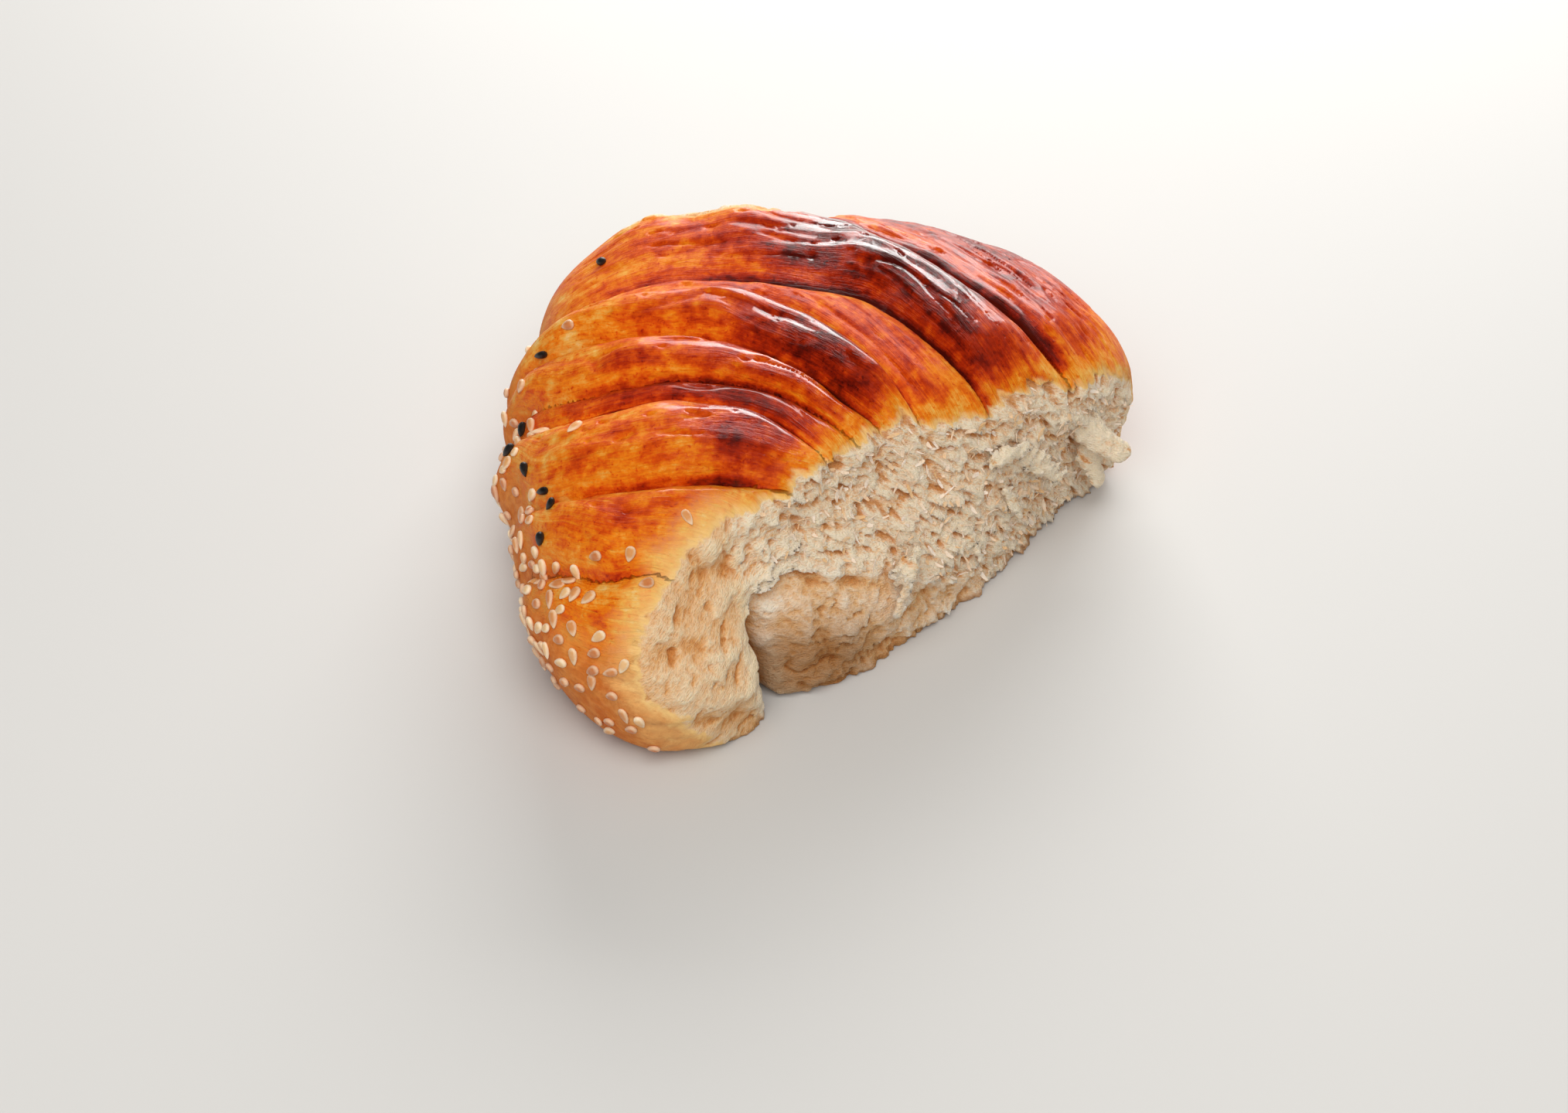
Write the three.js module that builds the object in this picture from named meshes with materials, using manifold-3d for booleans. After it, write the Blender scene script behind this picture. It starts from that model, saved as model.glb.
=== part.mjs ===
// A torn piece of a glazed, pleated croissant, with sesame and nigella seeds on its closed end.
// Millimetres, +Z up. The origin is on the surface it rests on, under the middle of its box.
import * as THREE from 'three';
import { mergeVertices } from 'three/addons/utils/BufferGeometryUtils.js';
import Module from 'manifold-3d';

// The dome of baked dough: a flattened round whose widest level lies above its flat base.
const HEIGHT = 48;
const WIDEST = 16;
const UNDERSIDE = 38;
const MIDDLE = [-7.7, -6.4];
const CROWN = [MIDDLE[0], MIDDLE[1] + 5];
const RADII = [68.5, 74.5, 73.5, 68, 65, 69, 65, 57, 52.5, 54, 63.5, 68, 57, 48, 46, 52];
const PLAN_POWER = 2.5;
const SIDE_POWER = 2.3;
const DOME_STEPS = [136, 42];
const GRAIN_ANGLE = THREE.MathUtils.degToRad(-24);

// The seams between the rolled strands, in plan from the back to the front.
const SEAMS = [
  [[-75, 140], [-35, 105], [-12, 80], [8, 58], [29, 37], [43, 23], [52, 12], [64, 0], [80, -14]],
  [[-75, 32], [-58, 32], [-45, 31], [-25, 32], [-8, 30], [7, 27], [18, 22], [31, 8], [45, -12], [60, -30]],
  [[-75, 26], [-58, 25], [-33, 26], [-17, 25], [-6, 23], [5, 16], [13, 8], [20, -1], [27, -11], [40, -30]],
  [[-75, 19], [-58, 19], [-32, 14], [-17, 11], [-2, 4], [13, -8], [25, -18], [40, -34]],
  [[-75, 13], [-55, 11], [-40, 2], [-24, 0], [-9, -3], [7, -11], [18, -20], [32, -36]],
  [[-75, 6], [-55, 3], [-40, -4], [-24, -6], [-9, -10], [4, -17], [12, -25], [24, -40]],
  [[-75, -6], [-55, -10], [-46, -21], [-31, -26], [-16, -27], [-2, -28], [10, -29], [24, -44]],
  [[-75, -20], [-52, -26], [-45, -34], [-33, -42], [-22, -44], [-8, -46], [10, -60]],
];
const STRAND_RISE = [4.5, 5.5, 1.2, 5.0, 3.6, 1.8, 4.6, 3.4, 3.0];
const CREST_SHARE = [0.5, 0.62, 0.5, 0.6, 0.5, 0.5, 0.5, 0.5, 0.5];
const BACK_STRAND = 26;
const TOE_STRAND = 34;
const WIDTH_FADE = [4, 14];
const RISE_FADE = [2, 24];

// The front tear: [place along it, how far it stands out] at the base, above the notch and at the crust.
const TEAR_START = [MIDDLE[0] + 4, MIDDLE[1] - 41];
const TEAR_ANGLE = THREE.MathUtils.degToRad(44);
const FOOT = [
  [-40, -9], [-30, -3.5], [-24, -1.8], [-16, -1.6], [-9.5, -3], [-5, -10], [-1.8, -3.2],
  [2, -0.8], [7, 1], [14, 2], [40, 2], [56, 1], [70, -1], [84, -3],
];
const HEEL = [[-40, -10], [-30, -4.5], [-24, -2.2], [-14, -1.5], [-4, -3], [6, 1], [40, 2], [84, 0]];
const LIP = [
  [-40, -16], [-26, -14], [-10, -13.5], [2, -10.5], [22, -10],
  [38, -6], [46, -3], [64, 1], [76, 3],
];
const NOTCH_TOP = [18, 26];
const NOTCH_SLOPE = 0.2;
const LEAN = [12, 40];
const POCKET = { along: 8, height: 12, halfLength: 20, halfHeight: 17, depth: 5.5 };
const POCKET_RIM = [1.25, 0.1];
const POCKET_START = [-2.5, 5];
const POCKET_FLOOR = { height: 8, share: 0.5 };
const CUTTER = { start: -46, length: 140, depth: 90, below: 6, height: 76 };
const FRONT_STEPS = [70, 1, 16];
const BACK_STEPS = [28, 1, 8];

// The small tear at the back, where another piece was pulled off.
const BACK_TEAR = { y: 60.5, x: -30, z: 30, turn: 0.22, lean: 0.1, curl: 0.05, curlFrom: -6 };

// The seeds: half length, half width and half thickness, and how much one end narrows.
const SESAME = { kind: 'sesame_seed', half: [1.6, 1.0, 0.5], taper: 0.3 };
const NIGELLA = { kind: 'nigella_seed', half: [1.5, 0.85, 0.7], taper: 0.25 };
const SEED_STEPS = [7, 4];

// Where single seeds lie: [bearing in degrees, height].
const NIGELLA_PLACES = [
  [132.5, 38.2], [165, 35.3], [181, 30], [189, 30], [199, 34.5], [208, 35], [214.5, 36.5], [218, 34],
];
const SESAME_PLACES = [
  [160, 42], [164, 38], [222, 29.5], [224, 26], [232, 38], [244, 38], [253, 41], [252, 45.5], [256, 45],
];

// The other sesame seeds are strewn between two bearings and two heights.
const SESAME_COUNT = 40;
const SESAME_ARC = [152, 250];
const SESAME_RISE = [4, 31];
const CROWDING = 1.6;
const HEIGHT_STRIDE = 0.413;
const TRIES = 160;
const NIGELLA_TURN = 2;
const SESAME_TURN = 2.4;
const SEED_GAP = 0.3;
const SEED_SPACING = 4.2;
const TEAR_MARGIN = 3;
const GOLDEN = 0.618034;
const FAR = 200;
const SEAM_STEPS = 96;

const CRUST = new THREE.MeshStandardMaterial({ color: 0xc0601c, roughness: 0.35, metalness: 0 });
const SESAME_HULL = new THREE.MeshStandardMaterial({ color: 0xe2b878, roughness: 0.55, metalness: 0 });
const NIGELLA_HULL = new THREE.MeshStandardMaterial({ color: 0x14110f, roughness: 0.6, metalness: 0 });

const wasm = await Module();
wasm.setup();

function smooth(from, to, x) {
  const t = THREE.MathUtils.clamp((x - from) / (to - from), 0, 1);
  return t * t * (3 - 2 * t);
}

// Closed smooth curve through radii that are spread evenly around a turn.
function radiusAt(angle) {
  const n = RADII.length;
  const place = THREE.MathUtils.euclideanModulo(angle / (2 * Math.PI), 1) * n;
  const i = Math.floor(place);
  const [a, b, c, d] = [i - 1, i, i + 1, i + 2].map((k) => RADII[(k + n) % n]);
  const f = place - i;
  return b + 0.5 * f * (c - a + f * (2 * a - 5 * b + 4 * c - d + f * (3 * (b - c) + d - a)));
}

// Height of a smooth curve through [x, y] points that never swings past them.
function along(points, x) {
  const last = points.length - 1;
  const t = THREE.MathUtils.clamp(x, points[0][0], points[last][0]);
  const i = Math.min(points.findLastIndex((p) => p[0] <= t), last - 1);
  const slope = (k) => (points[k + 1][1] - points[k][1]) / (points[k + 1][0] - points[k][0]);
  const tangent = (k) => {
    if (k === 0) return slope(0);
    if (k === last) return slope(last - 1);
    const [before, after] = [slope(k - 1), slope(k)];
    return before * after > 0 ? (2 * before * after) / (before + after) : 0;
  };
  const span = points[i + 1][0] - points[i][0];
  const f = (t - points[i][0]) / span;
  const rise = points[i][1] * (2 * f ** 3 - 3 * f ** 2 + 1) + points[i + 1][1] * (3 * f ** 2 - 2 * f ** 3);
  return rise + span * (tangent(i) * (f ** 3 - 2 * f ** 2 + f) + tangent(i + 1) * (f ** 3 - f ** 2));
}

const seamLines = SEAMS.map((seam) => {
  const curve = new THREE.SplineCurve(seam.map(([x, y]) => new THREE.Vector2(x, y)));
  return curve.getPoints(SEAM_STEPS);
});

function seamY(line, x) {
  const i = THREE.MathUtils.clamp(line.findIndex((p) => p.x > x), 1, line.length - 1);
  const f = (x - line[i - 1].x) / (line[i].x - line[i - 1].x);
  return THREE.MathUtils.lerp(line[i - 1].y, line[i].y, f);
}

// How far the strand at a place in plan stands proud of the dome.
function strandRise(x, y) {
  const [px, py] = [x - MIDDLE[0], y - MIDDLE[1]];
  const seams = seamLines.map((line) => seamY(line, px));
  const edges = [seams[0] + BACK_STRAND, ...seams, seams[seams.length - 1] - TOE_STRAND];
  const k = edges.findIndex((edge, i) => i > 0 && py <= edges[i - 1] && py >= edge) - 1;
  if (k < 0) return 0;
  const width = Math.max(edges[k] - edges[k + 1], 0.5);
  const across = ((py - edges[k + 1]) / width) ** (Math.log(0.5) / Math.log(CREST_SHARE[k]));
  const profile = 0.5 - 0.5 * Math.cos(2 * Math.PI * across);
  return profile * STRAND_RISE[k] * smooth(...WIDTH_FADE, width);
}

function solid(geometry) {
  const bare = geometry.clone();
  bare.deleteAttribute('normal');
  bare.deleteAttribute('uv');
  const merged = mergeVertices(bare, 1e-4);
  const mesh = new wasm.Mesh({
    numProp: 3,
    vertProperties: merged.attributes.position.array,
    triVerts: new Uint32Array(merged.index.array),
  });
  return new wasm.Manifold(mesh);
}

function geometryOf(manifold) {
  const mesh = manifold.getMesh();
  const geometry = new THREE.BufferGeometry();
  geometry.setAttribute('position', new THREE.BufferAttribute(mesh.vertProperties, 3));
  geometry.setIndex(new THREE.BufferAttribute(mesh.triVerts, 1));
  return geometry;
}

// The way the dome faces, from how far out and how far up a point lies.
function domeNormal(angle, radius, out, up) {
  const slopeOut = (PLAN_POWER * out ** (PLAN_POWER - 1)) / radius;
  const slopeUp = (SIDE_POWER * up ** (SIDE_POWER - 1)) / (HEIGHT - WIDEST);
  const normal = new THREE.Vector3(Math.cos(angle) * slopeOut, Math.sin(angle) * slopeOut, slopeUp);
  return normal.normalize();
}

// A unit sphere's point on the dome, moved outwards by the strands.
function domePoint(unit) {
  const angle = Math.atan2(unit.y, unit.x);
  const radius = radiusAt(angle);
  const out = Math.hypot(unit.x, unit.y) ** (2 / PLAN_POWER);
  const up = Math.abs(unit.z) ** (2 / SIDE_POWER);
  const z = WIDEST + (unit.z > 0 ? up * (HEIGHT - WIDEST) : -up * UNDERSIDE);
  const reach = out * radius;
  const [x, y] = [CROWN[0] + reach * Math.cos(angle), CROWN[1] + reach * Math.sin(angle)];
  const point = new THREE.Vector3(x, y, z);
  if (unit.z <= 0) return point;
  const rise = strandRise(x, y) * smooth(...RISE_FADE, z);
  return point.addScaledVector(domeNormal(angle, radius, out, up), rise);
}

function dome() {
  const geometry = new THREE.SphereGeometry(1, ...DOME_STEPS);
  geometry.rotateZ(Math.PI / 2 + GRAIN_ANGLE);
  const place = geometry.attributes.position;
  for (let i = 0; i < place.count; i += 1) {
    const point = domePoint(new THREE.Vector3().fromBufferAttribute(place, i).normalize());
    place.setXYZ(i, point.x, point.y, point.z);
  }
  return solid(geometry);
}

// How far the front tear stands out at a place along it and a height.
function tearOut(t, z) {
  const shut = smooth(...NOTCH_TOP, z - NOTCH_SLOPE * t);
  const low = THREE.MathUtils.lerp(along(FOOT, t), along(HEEL, t), shut);
  const face = THREE.MathUtils.lerp(low, along(LIP, t), smooth(...LEAN, z));
  return face - POCKET.depth * pocketShare(t, z);
}

// How much of the pocket's depth the tear has at a place.
function pocketShare(t, z) {
  const [across, up] = [(t - POCKET.along) / POCKET.halfLength, (z - POCKET.height) / POCKET.halfHeight];
  const floor = 1 - POCKET_FLOOR.share * smooth(POCKET_FLOOR.height, 0, z);
  return smooth(...POCKET_RIM, across ** 2 + up ** 2) * smooth(...POCKET_START, t) * floor;
}

function frontCutter() {
  const { start, length, depth, below, height } = CUTTER;
  const geometry = new THREE.BoxGeometry(length, depth, height, ...FRONT_STEPS);
  geometry.translate(start + length / 2, -depth / 2, height / 2 - below);
  const place = geometry.attributes.position;
  for (let i = 0; i < place.count; i += 1) {
    const inner = place.getY(i) > -1;
    if (inner) place.setY(i, -tearOut(place.getX(i), Math.max(place.getZ(i), 0)));
  }
  geometry.rotateZ(TEAR_ANGLE);
  geometry.translate(TEAR_START[0], TEAR_START[1], 0);
  return solid(geometry);
}

function backCutter() {
  const { y, x, z, turn, lean, curl, curlFrom } = BACK_TEAR;
  const geometry = new THREE.BoxGeometry(CUTTER.length, CUTTER.depth, CUTTER.height, ...BACK_STEPS);
  geometry.translate(0, CUTTER.depth / 2, CUTTER.height / 2 - CUTTER.below);
  const place = geometry.attributes.position;
  for (let i = 0; i < place.count; i += 1) {
    const [px, py, pz] = [place.getX(i), place.getY(i), place.getZ(i)];
    const bend = curl * Math.max(0, px - curlFrom) ** 2;
    const edge = y - turn * (px - x) - lean * (pz - z) + bend;
    place.setXYZ(i, px + MIDDLE[0], (py < 1 ? edge : edge + CUTTER.depth) + MIDDLE[1], pz);
  }
  return solid(geometry);
}

function belowBase() {
  const size = 4 * HEIGHT;
  return solid(new THREE.BoxGeometry(size, size, size).translate(0, 0, -size / 2));
}

const loaf = dome().subtract(belowBase()).subtract(frontCutter()).subtract(backCutter());

function seedShape({ half: [long, wide, thick], taper }) {
  const geometry = new THREE.SphereGeometry(1, ...SEED_STEPS);
  const place = geometry.attributes.position;
  for (let i = 0; i < place.count; i += 1) {
    const narrow = 1 - taper * place.getY(i);
    const [x, y, z] = [place.getY(i), place.getX(i) * narrow, -place.getZ(i) * narrow];
    place.setXYZ(i, x * long, y * wide, z * thick);
  }
  return geometry;
}

const bread = new THREE.Mesh(geometryOf(loaf), CRUST);
bread.name = 'bread';
const ray = new THREE.Raycaster();
const settled = [];
const seeds = [];

function depthUnderTear(point) {
  const local = point.clone().sub(new THREE.Vector3(...TEAR_START, 0));
  local.applyAxisAngle(new THREE.Vector3(0, 0, 1), -TEAR_ANGLE);
  return tearOut(local.x, local.z) + local.y;
}

// The crust at a bearing and a height, if it is free for a seed.
function freePlace(bearing, height) {
  const angle = THREE.MathUtils.degToRad(bearing);
  const outward = new THREE.Vector3(Math.cos(angle), Math.sin(angle), 0);
  const axis = new THREE.Vector3(CROWN[0], CROWN[1], height);
  ray.set(axis.addScaledVector(outward, FAR), outward.clone().negate());
  const [hit] = ray.intersectObject(bread);
  if (!hit || depthUnderTear(hit.point) < TEAR_MARGIN) return null;
  return settled.some((place) => place.distanceTo(hit.point) < SEED_SPACING) ? null : hit;
}

function touchesLoaf(seed) {
  seed.updateMatrixWorld();
  return !solid(seed.geometry.clone().applyMatrix4(seed.matrixWorld)).intersect(loaf).isEmpty();
}

// Lays a seed flat on the crust and lifts it until it is clear.
function layOn(seed, hit, turn) {
  const up = hit.face.normal;
  seed.quaternion.setFromUnitVectors(new THREE.Vector3(0, 0, 1), up);
  seed.rotateZ(turn);
  seed.position.copy(hit.point).addScaledVector(up, SEED_GAP);
  do seed.position.addScaledVector(up, SEED_GAP / 2);
  while (touchesLoaf(seed));
  seed.position.addScaledVector(up, SEED_GAP);
}

function addSeed(seedType, hull, [bearing, height], turn) {
  const hit = freePlace(bearing, height);
  if (!hit) return;
  const seed = new THREE.Mesh(seedShape(seedType), hull);
  layOn(seed, hit, turn);
  settled.push(hit.point.clone());
  const number = seeds.filter((other) => other.name.startsWith(seedType.kind)).length + 1;
  seed.name = `${seedType.kind}_${String(number).padStart(2, '0')}`;
  seeds.push(seed);
}

NIGELLA_PLACES.forEach((place, i) => addSeed(NIGELLA, NIGELLA_HULL, place, 1 + NIGELLA_TURN * i));
SESAME_PLACES.forEach((place, i) => addSeed(SESAME, SESAME_HULL, place, SESAME_TURN * i));
for (let i = 0; seeds.length < SESAME_COUNT + NIGELLA_PLACES.length && i < TRIES; i += 1) {
  const sweep = 1 - (1 - (i * GOLDEN) % 1) ** CROWDING;
  const bearing = THREE.MathUtils.lerp(...SESAME_ARC, sweep);
  const height = THREE.MathUtils.lerp(...SESAME_RISE, (i * HEIGHT_STRIDE) % 1);
  addSeed(SESAME, SESAME_HULL, [bearing, height], SESAME_TURN * i);
}

const croissant = new THREE.Group();
croissant.add(bread, ...seeds);

export default croissant;
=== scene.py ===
import math

import bmesh
import bpy
import numpy as np
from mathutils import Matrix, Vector, noise
from mathutils.bvhtree import BVHTree


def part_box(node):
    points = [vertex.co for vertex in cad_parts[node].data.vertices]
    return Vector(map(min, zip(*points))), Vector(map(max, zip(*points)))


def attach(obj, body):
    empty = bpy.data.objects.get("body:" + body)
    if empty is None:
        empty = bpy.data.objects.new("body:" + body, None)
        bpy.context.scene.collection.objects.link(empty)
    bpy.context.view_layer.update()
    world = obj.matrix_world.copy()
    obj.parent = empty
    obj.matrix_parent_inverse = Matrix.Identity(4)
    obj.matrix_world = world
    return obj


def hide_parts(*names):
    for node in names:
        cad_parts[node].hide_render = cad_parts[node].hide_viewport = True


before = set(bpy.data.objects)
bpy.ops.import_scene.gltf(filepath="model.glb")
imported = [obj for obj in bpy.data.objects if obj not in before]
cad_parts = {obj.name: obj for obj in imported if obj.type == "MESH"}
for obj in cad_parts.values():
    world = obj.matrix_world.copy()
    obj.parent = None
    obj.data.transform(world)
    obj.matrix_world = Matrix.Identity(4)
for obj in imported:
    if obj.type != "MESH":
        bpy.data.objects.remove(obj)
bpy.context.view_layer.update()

bl_info = {
    "name": "Torn Croissant",
    "version": (1, 0, 0),
    "blender": (4, 5, 0),
    "location": "View3D > Sidebar > Croissant",
    "description": "Builds a torn piece of a glazed, pleated croissant with seeds",
    "category": "Object",
}

MM = 0.001
BODY = "root"

# ---------------------------------------------------------------- the form, in millimetres
# The dome of baked dough, with the same driving dimensions as the solid it stands for.
HEIGHT = 48.0
WIDEST = 16.0
UNDERSIDE = 38.0
MIDDLE = (-7.7, -6.4)
CROWN = (MIDDLE[0], MIDDLE[1] + 5.0)
RADII = (68.5, 74.5, 73.5, 68, 65, 69, 65, 57, 52.5, 54, 63.5, 68, 57, 48, 46, 52)
PLAN_POWER = 2.5
SIDE_POWER = 2.3
BASE_ROUNDING = 5.0

# Seams between the rolled strands, in plan about MIDDLE, from the back to the front.
SEAMS = (
    ((-75, 140), (-35, 105), (-12, 80), (8, 58), (29, 37), (43, 23), (52, 12), (64, 0), (80, -14)),
    ((-75, 32), (-58, 32), (-45, 31), (-25, 32), (-8, 30), (7, 27), (18, 22), (31, 8), (45, -12), (60, -30)),
    ((-75, 26), (-58, 25), (-33, 26), (-17, 25), (-6, 23), (5, 16), (13, 8), (20, -1), (27, -11), (40, -30)),
    ((-75, 19), (-58, 19), (-32, 14), (-17, 11), (-2, 4), (13, -8), (25, -18), (40, -34)),
    ((-75, 13), (-55, 11), (-40, 2), (-24, 0), (-9, -3), (7, -11), (18, -20), (32, -36)),
    ((-75, 6), (-55, 3), (-40, -4), (-24, -6), (-9, -10), (4, -17), (12, -25), (24, -40)),
    ((-75, -6), (-55, -10), (-46, -21), (-31, -26), (-16, -27), (-2, -28), (10, -29), (24, -44)),
    ((-75, -20), (-52, -26), (-45, -34), (-33, -42), (-22, -44), (-8, -46), (10, -60)),
)
STRAND_RISE = (3.2, 5.5, 1.2, 5.0, 3.6, 1.8, 4.6, 3.4, 3.0)
CREST_SHARE = (0.22, 0.62, 0.5, 0.6, 0.5, 0.5, 0.5, 0.5, 0.5)
BACK_STRAND = 60.0
TOE_STRAND = 34.0
FULL_WIDTH = 9.0
RISE_FADE = (2.0, 24.0)

# How far each strand is baked, as [place along X about MIDDLE, bake] from its left to its right.
STRAND_BAKE = (
    ((-20, 0.60), (5, 0.80), (14, 0.52), (25, 0.70), (45, 0.74), (56, 0.62), (64, 0.42)),
    ((-58, 0.32), (-42, 0.38), (-30, 0.54), (-15, 0.60), (-6, 0.72), (4, 0.86), (30, 0.88), (40, 0.74),
     (50, 0.56), (58, 0.46)),
    ((-58, 0.30), (-40, 0.34), (-25, 0.42), (-10, 0.58), (0, 0.54), (12, 0.56), (18, 0.60), (28, 0.50),
     (40, 0.36)),
    ((-58, 0.28), (-38, 0.32), (-28, 0.46), (-15, 0.56), (-6, 0.72), (6, 0.88), (16, 0.82), (20, 0.54),
     (27, 0.32)),
    ((-58, 0.34), (-42, 0.38), (-30, 0.54), (-12, 0.58), (0, 0.64), (10, 0.58), (15, 0.42), (20, 0.26)),
    ((-58, 0.42), (-42, 0.52), (-30, 0.70), (-15, 0.78), (-5, 0.80), (4, 0.74), (8, 0.52), (13, 0.30)),
    ((-58, 0.30), (-45, 0.34), (-30, 0.42), (-20, 0.46), (-12, 0.68), (-2, 0.80), (4, 0.50), (9, 0.22)),
    ((-58, 0.32), (-44, 0.36), (-30, 0.44), (-18, 0.46), (-10, 0.36), (0, 0.25)),
    ((-58, 0.30), (-40, 0.32), (-28, 0.28), (-18, 0.20)),
)

# How thick the glaze lies on each strand, in the same way.
STRAND_GLOSS = (
    ((-20, 0.1), (10, 0.3), (25, 0.45), (50, 0.35), (62, 0.1)),
    ((-40, 0.12), (-12, 0.25), (2, 0.7), (8, 1.0), (30, 1.0), (42, 0.5), (54, 0.2)),
    ((-40, 0.05), (-10, 0.12), (0, 0.10), (20, 0.08), (36, 0.05)),
    ((-40, 0.12), (-16, 0.30), (-6, 0.8), (2, 1.0), (16, 1.0), (22, 0.3)),
    ((-40, 0.12), (-20, 0.35), (-10, 0.9), (6, 1.0), (14, 0.3)),
    ((-40, 0.12), (-20, 0.35), (-10, 0.7), (4, 0.7), (10, 0.2)),
    ((-40, 0.12), (-24, 0.35), (-14, 1.0), (-2, 1.0), (6, 0.3)),
    ((-40, 0.12), (-26, 0.45), (-14, 0.5), (-6, 0.2)),
    ((-40, 0.15), (-28, 0.25), (-18, 0.1)),
)

# The front tear: [place along it, how far it stands out] at the base, above the notch and at the crust.
TEAR_START = (MIDDLE[0] + 4.0, MIDDLE[1] - 41.0)
TEAR_ANGLE = math.radians(44)
FOOT = (
    (-40, -9), (-30, -3.5), (-24, -1.8), (-16, -1.6), (-9, -2.4), (-7.2, -3.6), (-5.8, -13), (-4.9, -13),
    (-4.3, -8.0), (-3.5, -5.4), (-1.8, -3.4), (1, -1.3), (5, 0.6), (9, 1.6), (14, 2.1), (40, 2), (56, 1),
    (70, -1), (84, -3),
)
HEEL = ((-40, -10), (-30, -4.5), (-24, -2.2), (-14, -1.5), (-4, -3), (6, 1), (40, 2), (84, 0))
LIP = ((-40, -16), (-26, -14), (-10, -13.5), (2, -10.5), (22, -10), (38, -6), (46, -3), (64, 1), (76, 3))
NOTCH_TOP = (18.0, 26.0)
NOTCH_TURN = 0.15
NOTCH_BEND = 6.0
LEAN = (12.0, 40.0)

# The stretched upper crumb ends in a lip that arches over the smoother crumb below: [place, height],
# and how deep the crumb lies back under it: [place, depth].
ARCH = (
    (-45, -26), (-30, -17), (-18, -6), (-11, 8), (-6, 25), (2, 27.5), (9, 25.5), (16, 22.5), (25, 19),
    (30, 14.5), (38, 9), (46, 4), (60, -6), (90, -26),
)
UNDERCUT = (
    (-9.5, 0), (-7.5, 5.0), (-4, 5.4), (3, 4.2), (9, 2.8), (16, 1.6), (25, 0.7), (30, 0.9), (44, 0.7),
    (56, 0),
)

# The share of a strand's height that its seams are cut down by, and how much prouder than the solid's it is.
VALLEY_SHARE = 0.22
VISUAL_RISE = 1.3
# The shares of the dome's reach in plan where the folds are calm, and inside which they are full.
FOLD_CALM = (0.99, 0.86)

# The crumb: spacing of its sheets, how far it droops and from where to where, and where its fibres bend.
SHEET_SPACING = 3.6
DROOP = 0.5
DROOP_REACH = (-8.0, 4.0)
TOE_BEND = -6.5
# Multipliers that mix a bubble's row and column into three chances.
CELL_MIX = ((12.9898, 78.233), (39.425, 11.135), (73.156, 52.235))
CELL_SPREAD = 43758.5

# The reach and step of the tables that hold a tear's relief.
TABLE_ALONG = (-50.0, 96.0)
TABLE_UP = (-4.0, 62.0)
TABLE_STEP = 0.3

# The crack in from the notch: its middle, slant, half width, top and depth.
CRACK_MIDDLE = -5.2
CRACK_SLANT = 0.1
CRACK_MOUTH = 9.0
CRACK_HALF = 0.9
CRACK_TOP = 19.0
CRACK_DEPTH = 22.0

# The small tear at the back: how far back it lies, its slant from one place, its lean from one height
# and its curl to the right of another place.
BACK_OUT = 60.5
BACK_SLANT = 0.22
BACK_SLANT_FROM = 30.0
BACK_LEAN = 0.1
BACK_LEAN_FROM = 30.0
BACK_CURL = 0.05
BACK_CURL_FROM = 6.0
BACK_RELIEF = 0.8
# Where its crumb is cut from, far from the front tear's, and how its table is shifted.
BACK_PATCH = 300.0
BACK_SHIFT = 40.0

# Heights between which the walls turn from glazed to bare, and the base from side to underside.
WALL_HEIGHTS = (36.0, 20.0)
BASE_HEIGHTS = (0.6, 0.1)

# Bearings about the crown, in degrees, between which seeds begin and lie thick at the back and at the
# front, the same for stray seeds, and where they grow denser. Then heights where they thin out.
SEEDED = ((140.0, 175.0), (264.0, 246.0))
STRAYS = ((150.0, 170.0), (262.0, 250.0))
DENSER = (150.0, 225.0)
STRAY_HEIGHTS = (46.0, 40.0)
STRAY_SHARE = 0.035
LOWEST_SEEDS = (3.8, 6.5)

# Rounding where surfaces meet.
EDGE_ROUNDING = (1.5, 4.0)
EDGE_HEIGHTS = (10.0, 28.0)
TOE_ROUNDING = 6.0
TOE_REACH = (-8.0, -18.0)
BACK_ROUNDING = 2.5
SHRED_ROUNDING = 0.8
FOOT_ROUNDING = 0.3
NOTCH_FOOT_ROUNDING = 5.0

# Loose shreds of crumb: from and to, as place along the tear, outwards and up, how thick and how ragged.
SHREDS = (
    ((24.0, 2.0, 20.5), (27.5, 2.2, 22.8), 2.5, 1.1),
    ((25.8, 3.2, 21.5), (21.0, 3.8, 13.0), 1.5, 1.1),
    ((29.0, 0.8, 29.5), (31.5, 3.0, 22.5), 1.3, 1.2),
    ((41.0, 1.0, 31.0), (47.0, 1.8, 29.5), 1.5, 1.2),
    ((51.0, 0.5, 31.5), (58.0, 2.0, 31.5), 2.0, 1.2),
    ((60.5, 0.6, 26.5), (67.0, 3.0, 19.0), 2.2, 1.3),
    ((54.0, 1.0, 22.0), (56.5, 3.0, 15.0), 1.2, 1.2),
    ((44.0, 1.0, 17.0), (45.5, 3.0, 10.5), 1.1, 1.2),
    ((73.5, 1.0, 11.0), (75.5, 5.2, 2.6), 1.5, 0.9),
    ((77.5, 1.0, 23.5), (82.3, 6.8, 17.6), 3.3, 0.3),
    ((79.0, 0.0, 16.0), (80.5, 2.6, 9.0), 2.6, 0.4),
    ((14.0, 2.2, 31.5), (16.0, 3.2, 26.0), 1.1, 1.2),
)
SHRED_THIN = 1.8
SHRED_REACH = 4.5


def ramp(start, end, x):
    """Smooth step from 0 at start to 1 at end."""
    t = np.clip((x - start) / (end - start), 0.0, 1.0)
    return t * t * (3.0 - 2.0 * t)


def soft_max(a, b, radius):
    """The larger of two distances, with the corner between them rounded."""
    overlap = np.maximum(radius - np.abs(a - b), 0.0) / radius
    return np.maximum(a, b) + 0.25 * radius * overlap * overlap


def soft_min(a, b, radius):
    return -soft_max(-a, -b, radius)


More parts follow.
